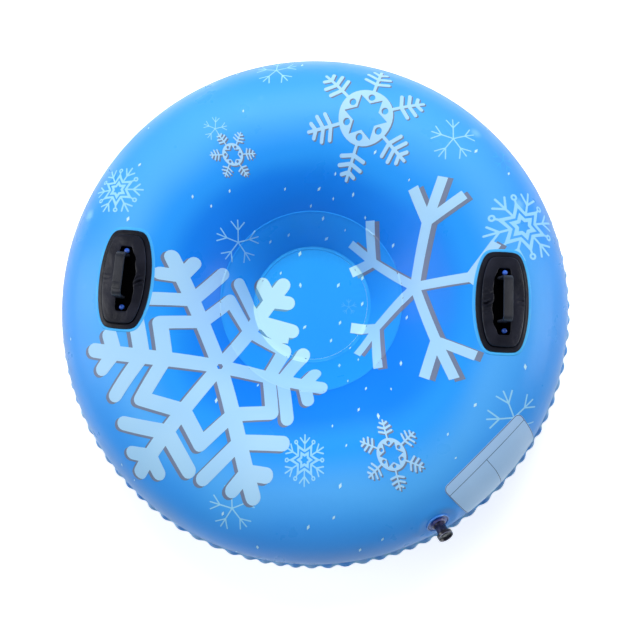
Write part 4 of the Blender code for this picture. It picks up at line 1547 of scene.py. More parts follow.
@dataclass
class Ornaments:
    """All the ornament on the top film: the snowflakes, their printed shadows and the snow."""

    form: TubeForm
    ringed: Specs = (
        ((113.0, 361.0), 119.0, 12.0),
        ((156.6, -308.0), 60.0, -18.0),
        ((-158.0, 292.0), 45.0, 6.0),
    )
    starred: Specs = (
        ((-384.0, 215.0), 53.0, -3.0),
        ((414.0, 132.0), 76.0, -45.0),
        ((-9.5, -323.0), 43.0, 30.0),
    )
    thin: Specs = (
        ((-157.0, 125.0), 45.0, 90.0),
        ((-70.0, 474.0), 42.0, 90.0),
        ((-190.0, 338.0), 23.5, 86.0),
        ((284.0, 310.0), 44.0, 88.0),
        ((-144.0, -400.0), 43.0, 92.0),
        ((384.0, -233.0), 52.0, 112.0),
    )
    faint: Specs = (((70.0, -6.0), 14.5, 90.0), ((386.0, 272.0), 24.0, 80.0))
    faint_weight: float = 1.2
    specks: int = 72
    speck_length: float = 0.0100
    speck_width: float = 0.0048
    speck_gap: float = 0.035
    print_gap: float = 0.008
    grips: tuple[Place, ...] = ((0.37, -0.016), (-0.369, 0.033))
    grip_gap: float = 0.11
    seed: int = 11

    def _joined(self, kind: Motif, specs: Specs, weight: float = 1.0) -> Ornament:
        """Snowflakes of one kind as one ornament.

        Args:
            kind: The kind.
            specs: Centre, reach and turn of each.
            weight: How bold their bars are.

        Returns:
            The ornament.
        """
        made = Ornament()
        for spec in specs:
            made = made.joined(SmallSnowflake(kind, *spec, weight).outline())
        return made

    def _print(self, name: str, shape: Ornament, lifts: Place, ink: Ink) -> None:
        """Show an ornament on the top film, between two lifts in millimetres."""
        show(shape.mesh(name, self.form, lifts), ink, "top_film")

    def build(self) -> None:
        """Build and dress the ornament."""
        large = [
            ("bold_snowflake", BoldSnowflake().outline(), (-6.0, -3.0)),
            ("forked_snowflake", ForkedSnowflake().outline(), (10.0, -2.5)),
        ]
        for index, spec in enumerate(self.ringed):
            shape = SmallSnowflake(Motif.RINGED, *spec).outline()
            large.append((f"ringed_snowflake_{index + 1}", shape, (2.5, -2.0)))
        for name, shape, shift in large:
            self._print(f"{name}_shadow", shape.moved(shift), (0.20, 0.28), GREY_INK)
            self._print(name, shape, (0.42, 0.50), PALE_INK)
        fine = self._joined(Motif.STARRED, self.starred).joined(self._joined(Motif.THIN, self.thin))
        self._print("fine_snowflakes", fine, (0.05, 0.14), FINE_INK)
        faint = self._joined(Motif.THIN, self.faint, self.faint_weight)
        self._print("faint_snowflakes", faint, (0.28, 0.36), FAINT_INK)
        flakes = self._flakes(self._scattered([*[shape for _, shape, _ in large], fine]))
        self._print("printed_snow", Ornament(flakes), (0.56, 0.64), SPECK_INK)

    def _scattered(self, keep_off: list[Ornament]) -> list[np.ndarray]:
        """Scatter places for the snow, clear of ornaments, grips, panel and one another.

        Args:
            keep_off: The ornaments.

        Returns:
            Places on the flat film.
        """
        rng = np.random.default_rng(self.seed)
        places = []
        near = disc((0.0, 0.0), self.print_gap, 8)
        while len(places) < self.specks:
            reach, azimuth = rng.uniform(0.03, 0.54), rng.uniform(-math.pi, math.pi)
            spot = reach * around(azimuth)
            if any(shape.covers(spot + near).any() for shape in keep_off):
                continue
            grip = min(np.hypot(*(spot - grip)) for grip in self.grips)
            apart = min([float(np.hypot(*(spot - other))) for other in places], default=1.0)
            panel = spot[0] > 0.2 and spot[1] < -0.2 and reach > 0.42
            if grip > self.grip_gap and apart > self.speck_gap and not panel:
                places.append(spot)
        return places

    def _flakes(self, places: list[np.ndarray]) -> list[Outline]:
        """Put a small turned diamond at each place with a geometry tree.

        Args:
            places: Places on the flat film.

        Returns:
            The diamonds' outlines.
        """
        carrier = bpy.data.meshes.new("snow_places")
        carrier.from_pydata([(*place.tolist(), 0.0) for place in places], [], [])
        inputs = {"Length": self.speck_length, "Width": self.speck_width, "Seed": self.seed}
        kit = TreeKit("snow_tree", inputs)
        given = kit.given
        ring = {"Vertices": 4, "Radius": 0.5}
        circle = kit.add("GeometryNodeMeshCircle", ring, fill_type="NGON").outputs[0]
        size = kit.add("ShaderNodeCombineXYZ", {0: given["Width"], 1: given["Length"], 2: 1.0}).outputs[0]
        flake = kit.add("GeometryNodeTransform", {"Geometry": circle, "Scale": size}).outputs[0]
        turn_feeds = {0: (0.0, 0.0, -0.75), 1: (0.0, 0.0, 0.15), "Seed": given["Seed"]}
        turn = kit.add("FunctionNodeRandomValue", turn_feeds, data_type="FLOAT_VECTOR").outputs[0]
        grow_feeds = {2: 0.6, 3: 1.25, "Seed": given["Seed"]}
        grow = kit.add("FunctionNodeRandomValue", grow_feeds, data_type="FLOAT").outputs[1]
        feeds = {"Points": given["Geometry"], "Instance": flake, "Rotation": turn, "Scale": grow}
        spread = kit.add("GeometryNodeInstanceOnPoints", feeds).outputs[0]
        flakes = kit.run("snow_flat", carrier, spread, SPECK_INK.material())
        corners = np.array([tuple(v.co)[:2] for v in flakes.vertices])
        outlines = [corners[list(p.vertices)] for p in flakes.polygons]
        bpy.data.meshes.remove(flakes)
        return outlines


@dataclass
class BlankPanel:
    """The blank panel on the outer wall: a pale field with a border, a band and a divider."""

    form: TubeForm
    azimuth_deg: float = -42.1
    turn_deg: float = -46.0
    place_share: float = 0.6658
    length_share: float = 0.397
    drop_share: float = 0.2854
    longer: float = 0.012
    shift: float = 0.003
    corner: float = 0.012
    margin: float = 0.0006
    line: float = 0.0011
    band: float = 0.020

    def __post_init__(self) -> None:
        """Set the panel's directions and sizes on the flat film."""
        self.length = self.length_share * self.form.length + self.longer
        self.drop = self.drop_share * self.form.length
        self.down = around(math.radians(self.turn_deg))
        self.side = beside(self.down)
        reach = self.form.weld_radius + self.place_share * self.form.length
        self.top = reach * around(math.radians(self.azimuth_deg)) - self.shift * self.side

    def _spots(self, places: np.ndarray) -> np.ndarray:
        """Places on the flat film, from places along the panel's length and down its drop."""
        local = np.array(places)
        return self.top + local[:, 1:] * self.down + local[:, :1] * self.side

    def _border(self, inset: float) -> Outline:
        """Outline of the panel, drawn in by an inset."""
        low, high = (-self.length / 2 + inset, inset), (self.length / 2 - inset, self.drop - inset)
        return self._spots(rounded(low, high, self.corner - inset, 7))

    def build(self) -> None:
        """Build and dress the panel and its lines."""
        panel = Ornament([self._border(0.0)])
        show(panel.mesh("panel_film", self.form, (0.3, 0.7)), PANEL_VINYL, "panel_film", "blank_panel")
        lines = Ornament(rings=[(self._border(self.margin), self._border(self.margin + self.line))])
        half, band = self.length / 2 - 0.001, self.band
        lines.solid.append(bar(*self._spots([(-half, band), (half, band)]), self.line, False))
        bend = [(-0.004, band), (-0.004, band + 0.035), (-0.007, band + 0.07), (-0.013, self.drop - 0.002)]
        spots = self._spots(bend)
        lines.solid += [bar(start, end, self.line) for start, end in zip(spots, spots[1:])]
        show(lines.mesh("panel_lines", self.form, (0.74, 0.80)), PANEL_LINE, "panel_film")


# Grips


@dataclass
class Grip:
    """One grip on the crown: welded base, soft slotted pad, arched strap and two studs."""

    form: TubeForm
    side: str
    azimuth_deg: float
    creases: tuple[Spot, ...]
    slot_slide: Place = (0.0, 0.0)
    stud_slide: float = 0.0
    strap_slide: float = 0.0
    radius: float = 0.323
    length: float = 0.1735
    width: float = 0.0895
    bulge_length: float = 0.204
    power: float = 2.2
    squareness: float = 16.0
    patch_rings: tuple[Place, ...] = (
        (-5.0, 0.2),
        (-4.6, 0.6),
        (-3.6, 0.9),
        (-2.4, 0.9),
        (-0.2, 0.6),
        (0.6, 0.26),
        (0.6, 0.1),
    )
    base_rings: tuple[Place, ...] = (
        (0.4, 0.3),
        (0.0, 0.9),
        (0.2, 1.7),
        (0.9, 2.2),
        (2.0, 2.3),
        (3.0, 2.1),
        (3.6, 2.3),
        (6.2, 2.4),
        (8.5, 2.2),
        (9.5, 1.2),
        (11.0, 1.2),
        (20.0, 1.6),
        (30.0, 1.6),
    )
    base_low: float = 0.0003
    base_high: float = 0.0016
    rim: float = 0.0095
    pad_top: float = 0.0071
    pad_low: float = 0.0026
    pad_edge: float = 0.0034
    crown: float = 0.0009
    pad_shares: tuple[float, ...] = (
        *(0.0, 0.012, 0.03, 0.06, 0.11, 0.18, 0.26, 0.35, 0.45),
        *(0.55, 0.65, 0.74, 0.82, 0.89, 0.94, 0.975, 0.993, 1.0),
    )
    slot_length: float = 0.112
    slot_width: float = 0.0222
    slot_bulge: float = 0.0056
    slot_power: float = 9.0
    slot_waves: tuple[Spot, ...] = ((0.0011, 210.0, 0.6), (0.0008, 95.0, 0.0))
    slot_walls: tuple[Place, ...] = ((0.6, 5.2), (1.0, 3.8), (0.8, 2.6))
    strap_length: float = 0.075
    strap_width: float = 0.0154
    strap_thickness: float = 0.0040
    strap_top: float = 0.0393
    strap_edge: float = 0.0013
    strap_spread: float = 0.0008
    bend: float = 0.0085
    root_radius: float = 0.0089
    axis_height: float = 0.01154
    lap: tuple[Place, ...] = ((0.0, 0.0), (0.0, 0.9), (0.6, 1.2), (11.0, 1.2), (11.7, 0.9), (11.8, 0.0))
    lap_edge: float = 0.0004
    lap_sink: float = 0.0002
    stud_spacing: float = 0.098
    stud_radius: float = 0.0045
    stud_height: float = 0.0055
    hinge_reach: float = 0.3227
    hinge_height: float = 0.2794
    most_lean: float = 0.0008
    columns: int = 192

    def __post_init__(self) -> None:
        """Set the grip's directions and frame."""
        azimuth = math.radians(self.azimuth_deg)
        self.outward = around(azimuth)
        self.along = beside(self.outward)
        _, height, slope = self.form.section(self.form.arc_of(self.radius))
        tilt = Matrix.Rotation(azimuth, 4, "Z") @ Matrix.Rotation(-float(slope), 4, "Y")
        origin = (*(self.radius * self.outward).tolist(), self.form.top_start + float(height))
        self.frame = Matrix.Translation(origin) @ tilt
        self.strap_frame = self.frame @ Matrix.Translation((0.0, self.strap_slide, 0.0))

    def _over(self, local: np.ndarray, lift: np.ndarray | float) -> np.ndarray:
        """Points over the film.

        Args:
            local: Distances outwards and along from the grip's middle.
            lift: Distance off the film.

        Returns:
            The points.
        """
        plan = self.radius * self.outward + local[:, :1] * self.outward + local[:, 1:] * self.along
        arc = self.form.arc_of(np.hypot(plan[:, 0], plan[:, 1]))
        return self.form.film(arc, np.arctan2(plan[:, 1], plan[:, 0]), lift)

    def _oval(self, inset: float) -> np.ndarray:
        """The grip's outline.

        Args:
            inset: How far it is drawn in.

        Returns:
            Distances outwards and along.
        """
        x, y = (around(turns(self.columns)) * (self.width, self.length)).T
        wide, long, end = self.width / 2 - inset, self.bulge_length / 2 - inset, self.length / 2 - inset
        bulge = (np.abs(x / wide) ** self.power + np.abs(y / long) ** self.power) ** (1 / self.power)
        reach = (bulge**self.squareness + np.abs(y / end) ** self.squareness) ** (1 / self.squareness)
        return np.stack([x / reach, y / reach], axis=1)

    def _slot(self, grow: float) -> np.ndarray:
        """The slot's outline, wavy along its inner side, matched to the oval's points.

        Args:
            grow: How far it is widened.

        Returns:
            Distances outwards and along.
        """
        oval = self._oval(0.0)
        ways = around(np.arctan2(oval[:, 1] / self.slot_length, oval[:, 0] / self.slot_width))
        reach = np.sum(np.abs(ways) ** self.slot_power, axis=1) ** (1 / self.slot_power)
        half = np.array([self.slot_width / 2 + grow, self.slot_length / 2 + grow])
        points = ways / reach[:, None] * half
        inner = ease(-points[:, 0], 0.0, 0.006)
        wave = sum(size * np.sin(points[:, 1] * times + start) for size, times, start in self.slot_waves)
        calm = 1 - ease(np.abs(points[:, 1]), self.slot_length * 0.30, self.slot_length * 0.46)
        points[:, 0] += inner * (wave - self.slot_bulge) * calm
        points[:, 0] += self.slot_slide[0] + self.slot_slide[1] * points[:, 1]
        return points

    def _crease(self, local: np.ndarray) -> np.ndarray:
        """Height of the pad's creases and of its soft unevenness.

        Args:
            local: Distances outwards and along.

        Returns:
            The heights.
        """
        u, v = local[:, 0], local[:, 1]
        height = 0.00045 * np.sin(70 * v + 40 * u) * np.sin(120 * u + 1.3)
        height = height + 0.0003 * np.sin(160 * v + 60 * u)
        for across, along, depth in self.creases:
            window = bell(u, across, 0.010) * bell(v, along, 0.0080)
            height = height + depth * np.cos((v - along) * 800 + 4 * np.sin(u * 160)) * window
        return height

    @staticmethod
    def _deepened(mesh: Mesh, depth: list[float]) -> Mesh:
        """Store on a mesh how deep in shadow each point lies.

        Args:
            mesh: The mesh.
            depth: The depths, 0 in the open and 1 in full shadow.

        Returns:
            The mesh.
        """
        values = mesh.attributes.new("depth", "FLOAT", "POINT").data
        values.foreach_set("value", np.array(depth, np.float32))
        return mesh

    def _patch(self) -> Mesh:
        """The pale film patch that carries the base, seen as a thin ring round it."""
        rings = [self._over(self._oval(inset), lift) for inset, lift in MM * np.array(self.patch_rings)]
        return stacked(f"{self.side}_patch_edge", rings, 60.0)

    def _base(self) -> Mesh:
        """The base that is welded to the film, with a rounded edge and a weld groove.

        Returns:
            The mesh.
        """
        rings, depth = [], []
        for inset, lift in MM * np.array(self.base_rings):
            rings.append(self._over(self._oval(inset), lift))
            # Painted shade: the base inside the groove is drawn near black, as the slot's floor in shadow.
            depth += [1.0 if inset > self.rim - 0.0007 else 0.0] * self.columns
        tips = [self._over(np.zeros((1, 2)), lift)[0] for lift in (self.base_low, self.base_high)]
        return self._deepened(stacked(f"{self.side}_base_vinyl", rings, 50.0, tips), [*depth, 1.0, 1.0])

    def _pad(self) -> Mesh:
        """The soft pad: a closed ring between the groove and the slot, crowned and creased.

        Returns:
            The mesh.
        """
        outer, slot = self._oval(self.rim), self._slot(0.0)
        # Painted shade by depth: dark at the pad's outer foot and groove, a little at the slot's edge, near
        # black down the slot's walls.
        rings, depth = [self._over(outer * 0.992, self.pad_low)], [1.0]
        for share in self.pad_shares:
            local = outer * (1 - share) + slot * share
            edge = float(ease(share, -0.04, 0.055)) * (1 - float(ease(share, 0.96, 1.0)) * 0.30)
            bow = math.sin(math.pi * share) ** 0.5
            lift = self.pad_edge + (self.pad_top - self.pad_edge) * edge + self.crown * bow
            rings.append(self._over(local, lift + self._crease(local) * bow))
            depth.append(0.75 if share < 0.01 else (0.35 if share > 0.98 else 0.0))
        for grow, lift in MM * np.array(self.slot_walls):
            rings.append(self._over(self._slot(grow), lift))
            depth.append(1.0)
        return self._deepened(stacked(f"{self.side}_pad", rings, 55.0), np.repeat(depth, self.columns))

    def _middle_line(self) -> np.ndarray:
        """The strap's middle line: up one leg, over the span and down the other.

        Returns:
            Distances along the grip and heights.
        """
        floor = self.strap_top - self.strap_thickness / 2
        half = (self.strap_length - self.strap_thickness) / 2 + self.strap_spread
        leg = [(half, z) for z in np.linspace(self.axis_height - self.root_radius, floor - self.bend, 14)]
        centre = np.array([half - self.bend, floor - self.bend])
        corner = centre + self.bend * around(np.linspace(0, math.pi / 2, 9)[1:])
        span = [(v, floor) for v in np.linspace(half - self.bend, self.bend - half, 22)[1:-1]]
        side = np.concatenate([leg, corner])
        return np.concatenate([side, span, side[::-1] * (-1, 1)])

    def _strap(self) -> Mesh:
        """The arched strap, swept along its middle line with rounded edges and ends.

        Returns:
            The mesh.
        """
        line = self._middle_line()
        step = np.gradient(line, axis=0)
        step /= np.hypot(step[:, 0], step[:, 1])[:, None]
        run = np.concatenate([[0], np.cumsum(np.hypot(*np.diff(line, axis=0).T))])
        end = np.minimum(run, run[-1] - run)
        radius, half = self.root_radius, self.strap_width / 2
        round_root = np.sqrt(np.maximum(radius**2 - (radius - end) ** 2, 1e-7))
        reach = np.minimum(np.where(end < radius, round_root, half), half)
        hinge = Vector((*(self.hinge_reach * self.outward).tolist(), self.hinge_height))
        lean = min((self.frame.inverted() @ hinge).x, self.most_lean)
        top = self.strap_top - self.strap_thickness / 2 - self.bend
        rings = []
        for (v, z), (dv, dz), wide in zip(line, step, reach):
            thick = self.strap_thickness / 2
            x, off = rounded((-wide, -thick), (wide, thick), self.strap_edge, 4).T
            height = z + dv * off
            leaned = x + lean * (1 - ease(height, self.axis_height, top))
            rings.append(np.stack([leaned, v - dz * off, height], axis=1))
        mesh = stacked(f"{self.side}_strap_loop", rings[::-1], 45.0, flat=True)
        mesh.transform(self.strap_frame)
        return mesh

    def _lap(self) -> Mesh:
        """The short lap where the strap's end is folded back over its top.

        Returns:
            The mesh.
        """
        start, wide = self.strap_length / 2 - self.bend - 0.003, self.strap_width / 2 - 0.0007
        rings = []
        for u in np.linspace(-wide, wide, 9):
            back, lift = (MM * np.array(self.lap)).T
            fall = self.lap_edge * abs(u / wide) ** 6
            height = self.strap_top - self.lap_sink + np.maximum(lift - fall, 0.0)
            rings.append(np.stack([np.full(len(back), u), start - back, height], axis=1))
        mesh = stacked(f"{self.side}_strap_lap", rings, 45.0, flat=True)
        mesh.transform(self.strap_frame)
        return mesh

    def _stud(self, end: int, label: str) -> Mesh:
        """A domed stud at one end of the slot.

        Args:
            end: 1 for the upper end and -1 for the lower.
            label: Name of the end.

        Returns:
            The mesh.
        """
        radius, skirt = self.stud_radius, 0.0016
        dome = np.linspace(0.15, 1.45, 9)
        profile = [(radius, 0.0), (radius, 0.0010), (radius * 0.97, skirt)]
        rise = self.stud_height - skirt
        profile += [(radius * 0.97 * math.cos(a), skirt + rise * math.sin(a)) for a in dome]
        mesh = lathe(f"{self.side}_stud_{label}", profile, 32, closed=False)
        away = end * self.stud_spacing / 2
        across = self.slot_slide[0] + self.slot_slide[1] * away + self.stud_slide
        local = self.frame.inverted() @ Vector(self._over(np.array([[across, away]]), self.pad_low)[0])
        mesh.transform(self.frame @ Matrix.Translation((local.x, away, local.z)))
        return mesh

    def build(self) -> None:
        """Build and dress the grip."""
        side, body = self.side, f"{self.side}_strap"
        show(self._base(), GRIP_VINYL, "grip_vinyl", f"{side}_grip_base")
        show(self._pad(), PAD_VINYL, "grip_vinyl", f"{side}_grip_cover")
        show(self._patch(), PATCH_FILM, "top_film")
        strap = RibbedVinyl(f"{side}_strap_vinyl", (44, 46, 56), (35, 37, 45), turn_deg=self.azimuth_deg)
        show(self._strap(), strap, "strap_vinyl", f"{side}_grip_strap", body=body)
        if side == "left":
            show(self._lap(), strap, "strap_vinyl", body=body)
        for end, label in ((1, "upper"), (-1, "lower")):
            show(self._stud(end, label), STUD_PLASTIC, "stud_plastic", f"{side}_grip_stud_{label}")


# Valve


@dataclass
class Valve:
    """The air valve: flange, collar, push-in stem, cap on its tether and check flap, in millimetres."""

    form: TubeForm
    hinge_turn_deg: float = 60.0
    stem_top: float = 22.0
    stem_depth: float = 10.0
    hinge_offset: float = 14.5
    flange: tuple[Place, ...] = (
        *((12.3, 0.3), (18.3, 0.3), (18.4, 0.7), (18.3, 1.2), (18.0, 1.4), (17.6, 1.4)),
        *((17.0, 1.3), (16.0, 1.3), (15.2, 1.7), (14.0, 1.8), (12.5, 1.8), (12.3, 1.6)),
    )
    bead: tuple[Place, ...] = (
        *((18.7, 0.3), (21.4, 0.3), (21.5, 1.0), (21.1, 2.0)),
        *((20.4, 2.6), (19.6, 2.6), (18.9, 2.0), (18.7, 1.0)),
    )
    collar: tuple[Place, ...] = (
        *((9.85, -6.0), (12.0, -6.0), (12.0, 2.1), (13.6, 2.1), (13.9, 2.5), (13.6, 3.4)),
        *((13.0, 4.3), (12.6, 4.9), (12.0, 5.3), (11.0, 5.3), (10.2, 5.0), (9.85, 4.5)),
    )
    stem: tuple[Place, ...] = (
        *((7.0, -10.0), (11.8, -10.0), (12.0, -9.7), (12.0, -8.8), (11.7, -8.5), (9.5, -8.5)),
        *((9.5, 6.0), (9.35, 6.3), (9.5, 6.6), (9.5, 20.0), (9.8, 20.4), (10.4, 20.6)),
        *((10.6, 21.1), (10.5, 21.8), (10.1, 22.0), (7.3, 22.0), (7.0, 21.7)),
    )
    cap: tuple[Place, ...] = (
        *((5.8, -4.2), (6.1, -3.9), (6.6, 0.3), (12.9, 0.3), (13.4, 0.8)),
        *((13.5, 5.0), (13.2, 5.6), (12.0, 5.6), (11.5, 5.0), (10.8, 3.8)),
        *((9.6, 3.3), (6.2, 3.4), (5.6, 4.0), (4.8, 4.3), (3.0, 4.4)),
    )
    cap_rim: tuple[Place, ...] = (
        *((12.1, 5.7), (13.2, 5.7), (13.5, 6.1), (13.3, 6.8)),
        *((12.6, 7.0), (12.1, 6.7), (11.9, 6.2)),
    )
    flap: tuple[Place, ...] = ((7.9, -1.0), (8.2, -0.8), (8.2, -0.2), (7.9, 0.0))
    gap: float = 0.3
    ear_start: float = 8.5
    ear_half: float = 3.0
    ear_edge: float = 0.6
    tether_reach: float = 11.5
    tether_half: float = 2.5
    tether_thickness: float = 1.0
    columns: int = 72

    def __post_init__(self) -> None:
        """Set the valve's frames."""
        self.frame = self.form.valve
        self.stem_frame = self.frame @ Matrix.Rotation(math.radians(self.hinge_turn_deg), 4, "Z")
        self.cap_frame = self.stem_frame @ Matrix.Translation((0.0, 0.0, self.stem_top * MM))

    def _turned(self, name: str, profile: tuple[Place, ...], place: Matrix, closed: bool = True) -> Mesh:
        """A turned piece in its place.

        Args:
            name: Name of the mesh.
            profile: Radii and heights in millimetres.
            place: The frame that it stands in.
            closed: Whether the profile is a loop.

        Returns:
            The mesh.
        """
        mesh = lathe(name, MM * np.array(profile), self.columns, closed=closed)
        mesh.transform(place)
        return mesh

    def _ear(self) -> Mesh:
        """The ear on the stem's lip that carries the tether, a block with rounded edges and rims.

        Returns:
            The mesh.
        """
        edge, low, high = self.ear_edge, self.stem_top - 3.1, self.stem_top - 0.3
        far = self.hinge_offset - self.ear_edge
        outline = rounded((self.ear_start, -self.ear_half), (far, self.ear_half), edge, 4)
        middle = outline.mean(axis=0)
        rings = []
        for share, z in ((0.92, low), (1.0, low + edge * 0.6), (1.0, high - edge * 0.6), (0.92, high)):
            spots = middle + (outline - middle) * share
            rings.append(MM * np.column_stack([spots, np.full(len(spots), z)]))
        mesh = stacked("stem_ear", rings, 35.0, flat=True)
        mesh.transform(self.stem_frame)
        return mesh

    def _tether(self) -> Mesh:
        """The tether that arches from over the ear to the side of the cap.

        Returns:
            The mesh.
        """
        head = self.tether_reach - self.hinge_offset + self.gap
        rim = ((-self.tether_half, 0.2), (0.2 - self.tether_half, 0.0))
        rim += tuple((-y, drop) for y, drop in rim[::-1])
        half = self.tether_thickness / 2
        section = [(way * (half - drop) - head, y) for way in (1, -1) for y, drop in rim[::way]]
        rings = []
        for angle in np.linspace(0, math.pi / 2, 13):
            spots = [(head + r * math.cos(angle), y, self.gap + r * math.sin(angle)) for r, y in section]
            rings.append(MM * np.array(spots))
        mesh = stacked("cap_tether", rings, 35.0, flat=True)
        mesh.transform(self.cap_frame @ Matrix.Translation((self.hinge_offset * MM, 0.0, 0.0)))
        return mesh

    def build(self) -> None:
        """Build and dress the valve."""
        ring = self._turned("valve_flange_ring", self.flange, self.frame)
        show(ring, VALVE_WELD_PAINTED_SHADE, "valve_weld", "valve_flange")
        show(self._turned("valve_bead", self.bead, self.frame), VALVE_BEAD, "valve_weld")
        guide = self._turned("valve_guide", self.collar, self.frame)
        show(guide, VALVE_CLEAR, "valve_clear", "valve_collar")
        stem = self._turned("stem_tube", self.stem, self.stem_frame)
        show(stem, STEM_DARK, "valve_dark", "valve_stem", body="stem")
        show(self._ear(), STEM_DARK, "valve_dark", body="stem")
        cap = self._turned("cap_head", self.cap, self.cap_frame, closed=False)
        show(cap, CAP_DARK, "valve_clear", "valve_cap", body="cap")
        show(self._turned("cap_rim", self.cap_rim, self.cap_frame), CAP_RIM, "valve_clear", body="cap")
        show(self._tether(), CAP_RIM, "valve_clear", "valve_tether", body="cap")
        place = self.stem_frame @ Matrix.Translation((0.0, 0.0, -MM * (self.stem_depth + self.gap)))
        flap = self._turned("check_flap", self.flap, place, closed=False)
        show(flap, STEM_DARK, "valve_dark", "valve_flap", body="flap")


# Studio


def seen_through(kit: Nodes) -> Socket:
    """1 for what the camera sees, straight or through clear vinyl, and 0 for light on the object."""
    rays = kit.add("ShaderNodeLightPath").outputs
    return kit.math("MAXIMUM", rays["Is Camera Ray"], rays["Is Transmission Ray"])


@dataclass(frozen=True)
class Lamp:
    """A soft square lamp, with or without its own reflection."""

    name: str
    place: Spot
    power: float
    size: float
    glossy: bool = True
    colour: Spot = (1.0, 1.0, 1.0)

    def build(self, aim: Spot) -> None:
        """Build the lamp.

        Args:
            aim: The point that it is aimed at.
        """
        data = bpy.data.lights.new(self.name, "AREA")
        data.energy, data.size, data.color = self.power, self.size, self.colour
        lamp = bpy.data.objects.new(self.name, data)
        bpy.context.scene.collection.objects.link(lamp)
        lamp.location = self.place
        lamp.visible_glossy = self.glossy
        lamp.rotation_mode = "QUATERNION"
        lamp.rotation_quaternion = (Vector(aim) - Vector(self.place)).to_track_quat("-Z", "Y")


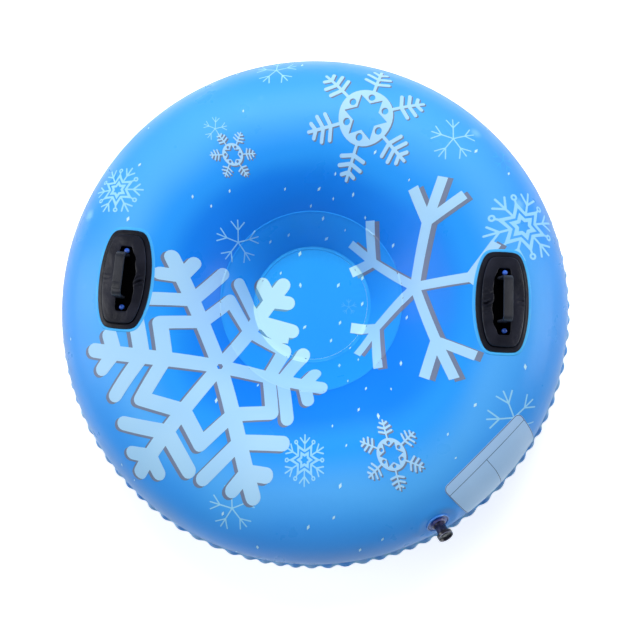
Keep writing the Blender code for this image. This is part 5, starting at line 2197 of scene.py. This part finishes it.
@dataclass
class Studio:
    """A pale floor, soft lights and the camera at the photograph's angle."""

    camera_place: Spot = (0.0432, -0.1449, 1.3288)
    aim: Spot = (0.0, 0.0, 0.13377)
    lens: float = 35.38
    shift: Place = (0.0122, -0.0251)
    zenith: float = 0.06
    horizon: float = 0.40
    horizon_reach: float = 0.45
    sky: tuple[float, ...] = (0.70, 0.88, 1.0, 1.0)
    floor_reach: float = 6.0
    floor_level: float = -0.0005
    floor_colour: tuple[float, ...] = (0.90, 0.90, 0.90, 1.0)
    floor_tint: tuple[float, ...] = (0.74, 0.90, 1.0, 1.0)
    floor_glow: float = 0.28
    floor_white: float = 0.62
    lamps: tuple[Lamp, ...] = (
        Lamp("key_light", (0.0, 2.0, 2.45), 76.0, 1.5, False),
        Lamp("overhead_light", (0.0, -0.1, 3.1), 11.0, 2.2, False),
        Lamp("front_low_light", (0.0, -2.9, 0.8), 10.0, 1.3, False, (0.45, 0.85, 1.0)),
        Lamp("left_high_light", (-2.2, 0.0, 2.3), 15.0, 1.6),
        Lamp("left_low_light", (-2.9, 0.0, 1.1), 20.0, 1.6),
        Lamp("right_low_light", (2.9, 0.0, 1.1), 22.0, 1.6),
    )

    def build(self) -> None:
        """Build the studio."""
        self._camera()
        self._world()
        self._floor()
        for lamp in self.lamps:
            lamp.build(self.aim)
        bpy.context.scene.view_settings.view_transform = "Standard"

    def _camera(self) -> None:
        """The camera, aimed at the tube's middle with no roll."""
        data = bpy.data.cameras.new("camera")
        data.lens, data.sensor_width = self.lens, 36.0
        data.shift_x, data.shift_y = self.shift
        data.clip_start, data.clip_end = 0.05, 60.0
        camera = bpy.data.objects.new("camera", data)
        bpy.context.scene.collection.objects.link(camera)
        back = (Vector(self.camera_place) - Vector(self.aim)).normalized()
        right = Vector((0.0, 1.0, 0.0)).cross(back).normalized()
        turned = Matrix((right, back.cross(right), back)).transposed().to_4x4()
        camera.matrix_world = Matrix.Translation(self.camera_place) @ turned
        bpy.context.scene.camera = camera

    def _world(self) -> None:
        """A pale world: white to the camera, and to the object brightest low round the horizon."""
        world = bpy.data.worlds.new("studio")
        world.use_nodes = True
        kit = Nodes(world.node_tree)
        kit.tree.nodes.clear()
        way = kit.add("ShaderNodeTexCoord").outputs["Generated"]
        height = kit.add("ShaderNodeSeparateXYZ", {0: way}).outputs[2]
        feeds = {
            "Value": height,
            "From Min": self.horizon_reach,
            "From Max": 0.0,
            "To Min": self.zenith,
            "To Max": self.horizon,
        }
        fall = kit.add("ShaderNodeMapRange", feeds).outputs[0]
        soft = kit.add("ShaderNodeBackground", {"Color": self.sky, "Strength": fall}).outputs[0]
        white = kit.add("ShaderNodeBackground", {"Color": WHITE, "Strength": 1.0}).outputs[0]
        mixed = kit.add("ShaderNodeMixShader", {0: seen_through(kit), 1: soft, 2: white})
        kit.add("ShaderNodeOutputWorld", {0: mixed.outputs[0]})
        bpy.context.scene.world = world

    def _floor(self) -> None:
        """The floor, pale with the object's shadow kept, and hidden from a camera below it."""
        quarters = ((-1, -1), (1, -1), (1, 1), (-1, 1))
        points = [(x * self.floor_reach, y * self.floor_reach, self.floor_level) for x, y in quarters]
        mesh = build_mesh("floor", points, [(0, 1, 2, 3)], 40.0)
        material = bpy.data.materials.new("floor_white")
        material.use_nodes = True
        kit = Nodes(material.node_tree)
        shader = kit.tree.nodes["Principled BSDF"]
        kit.feed(shader, {"Base Color": self.floor_colour, "Roughness": 0.9})
        seen = seen_through(kit)
        glows = {0: seen, "To Min": self.floor_glow, "To Max": self.floor_white}
        amount = kit.add("ShaderNodeMapRange", glows).outputs[0]
        feeds = {"Color": kit.blend(self.floor_tint, WHITE, seen), "Strength": amount}
        glow = kit.add("ShaderNodeEmission", feeds).outputs[0]
        total = kit.add("ShaderNodeAddShader", {0: shader.outputs[0], 1: glow}).outputs[0]
        back = kit.add("ShaderNodeNewGeometry").outputs["Backfacing"]
        below = kit.times(back, kit.add("ShaderNodeLightPath").outputs["Is Camera Ray"])
        clear = kit.add("ShaderNodeBsdfTransparent").outputs[0]
        mixed = kit.add("ShaderNodeMixShader", {0: below, 1: total, 2: clear}).outputs[0]
        kit.feed(kit.tree.nodes["Material Output"], {"Surface": mixed})
        mesh.materials.append(material)
        floor = bpy.data.objects.new("floor", mesh)
        bpy.context.scene.collection.objects.link(floor)
        floor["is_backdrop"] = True


def corners() -> list[list[float]]:
    """The shown object's box, as plain lists."""
    return [[float(value) for value in corner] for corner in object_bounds()]


def main() -> None:
    """Build the tube piece by piece."""
    logging.basicConfig(level=logging.INFO, format="%(name)s %(message)s")
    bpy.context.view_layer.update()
    form = TubeForm()
    TubeFilms(form).build()
    SeamFlange(form).build()
    Ornaments(form).build()
    BlankPanel(form).build()
    left = ((-0.0245, 0.003, 0.0032), (0.030, 0.000, 0.0008))
    Grip(form, "left", 174.9, left, (-0.0012, -0.030), strap_slide=-0.0040, radius=0.3212).build()
    right = (
        (-0.026, -0.004, 0.0034),
        (-0.024, 0.016, 0.0018),
        (-0.030, -0.016, 0.0014),
        (0.033, 0.0, 0.0028),
    )
    slides = {"stud_slide": 0.0018, "strap_slide": 0.0024}
    sizes = {"radius": 0.3258, "length": 0.1710, "width": 0.0885}
    Grip(form, "right", -2.5, right, (0.0004, 0.0), **slides, **sizes).build()
    Valve(form).build()
    Studio().build()


if __name__ == "__main__":
    main()
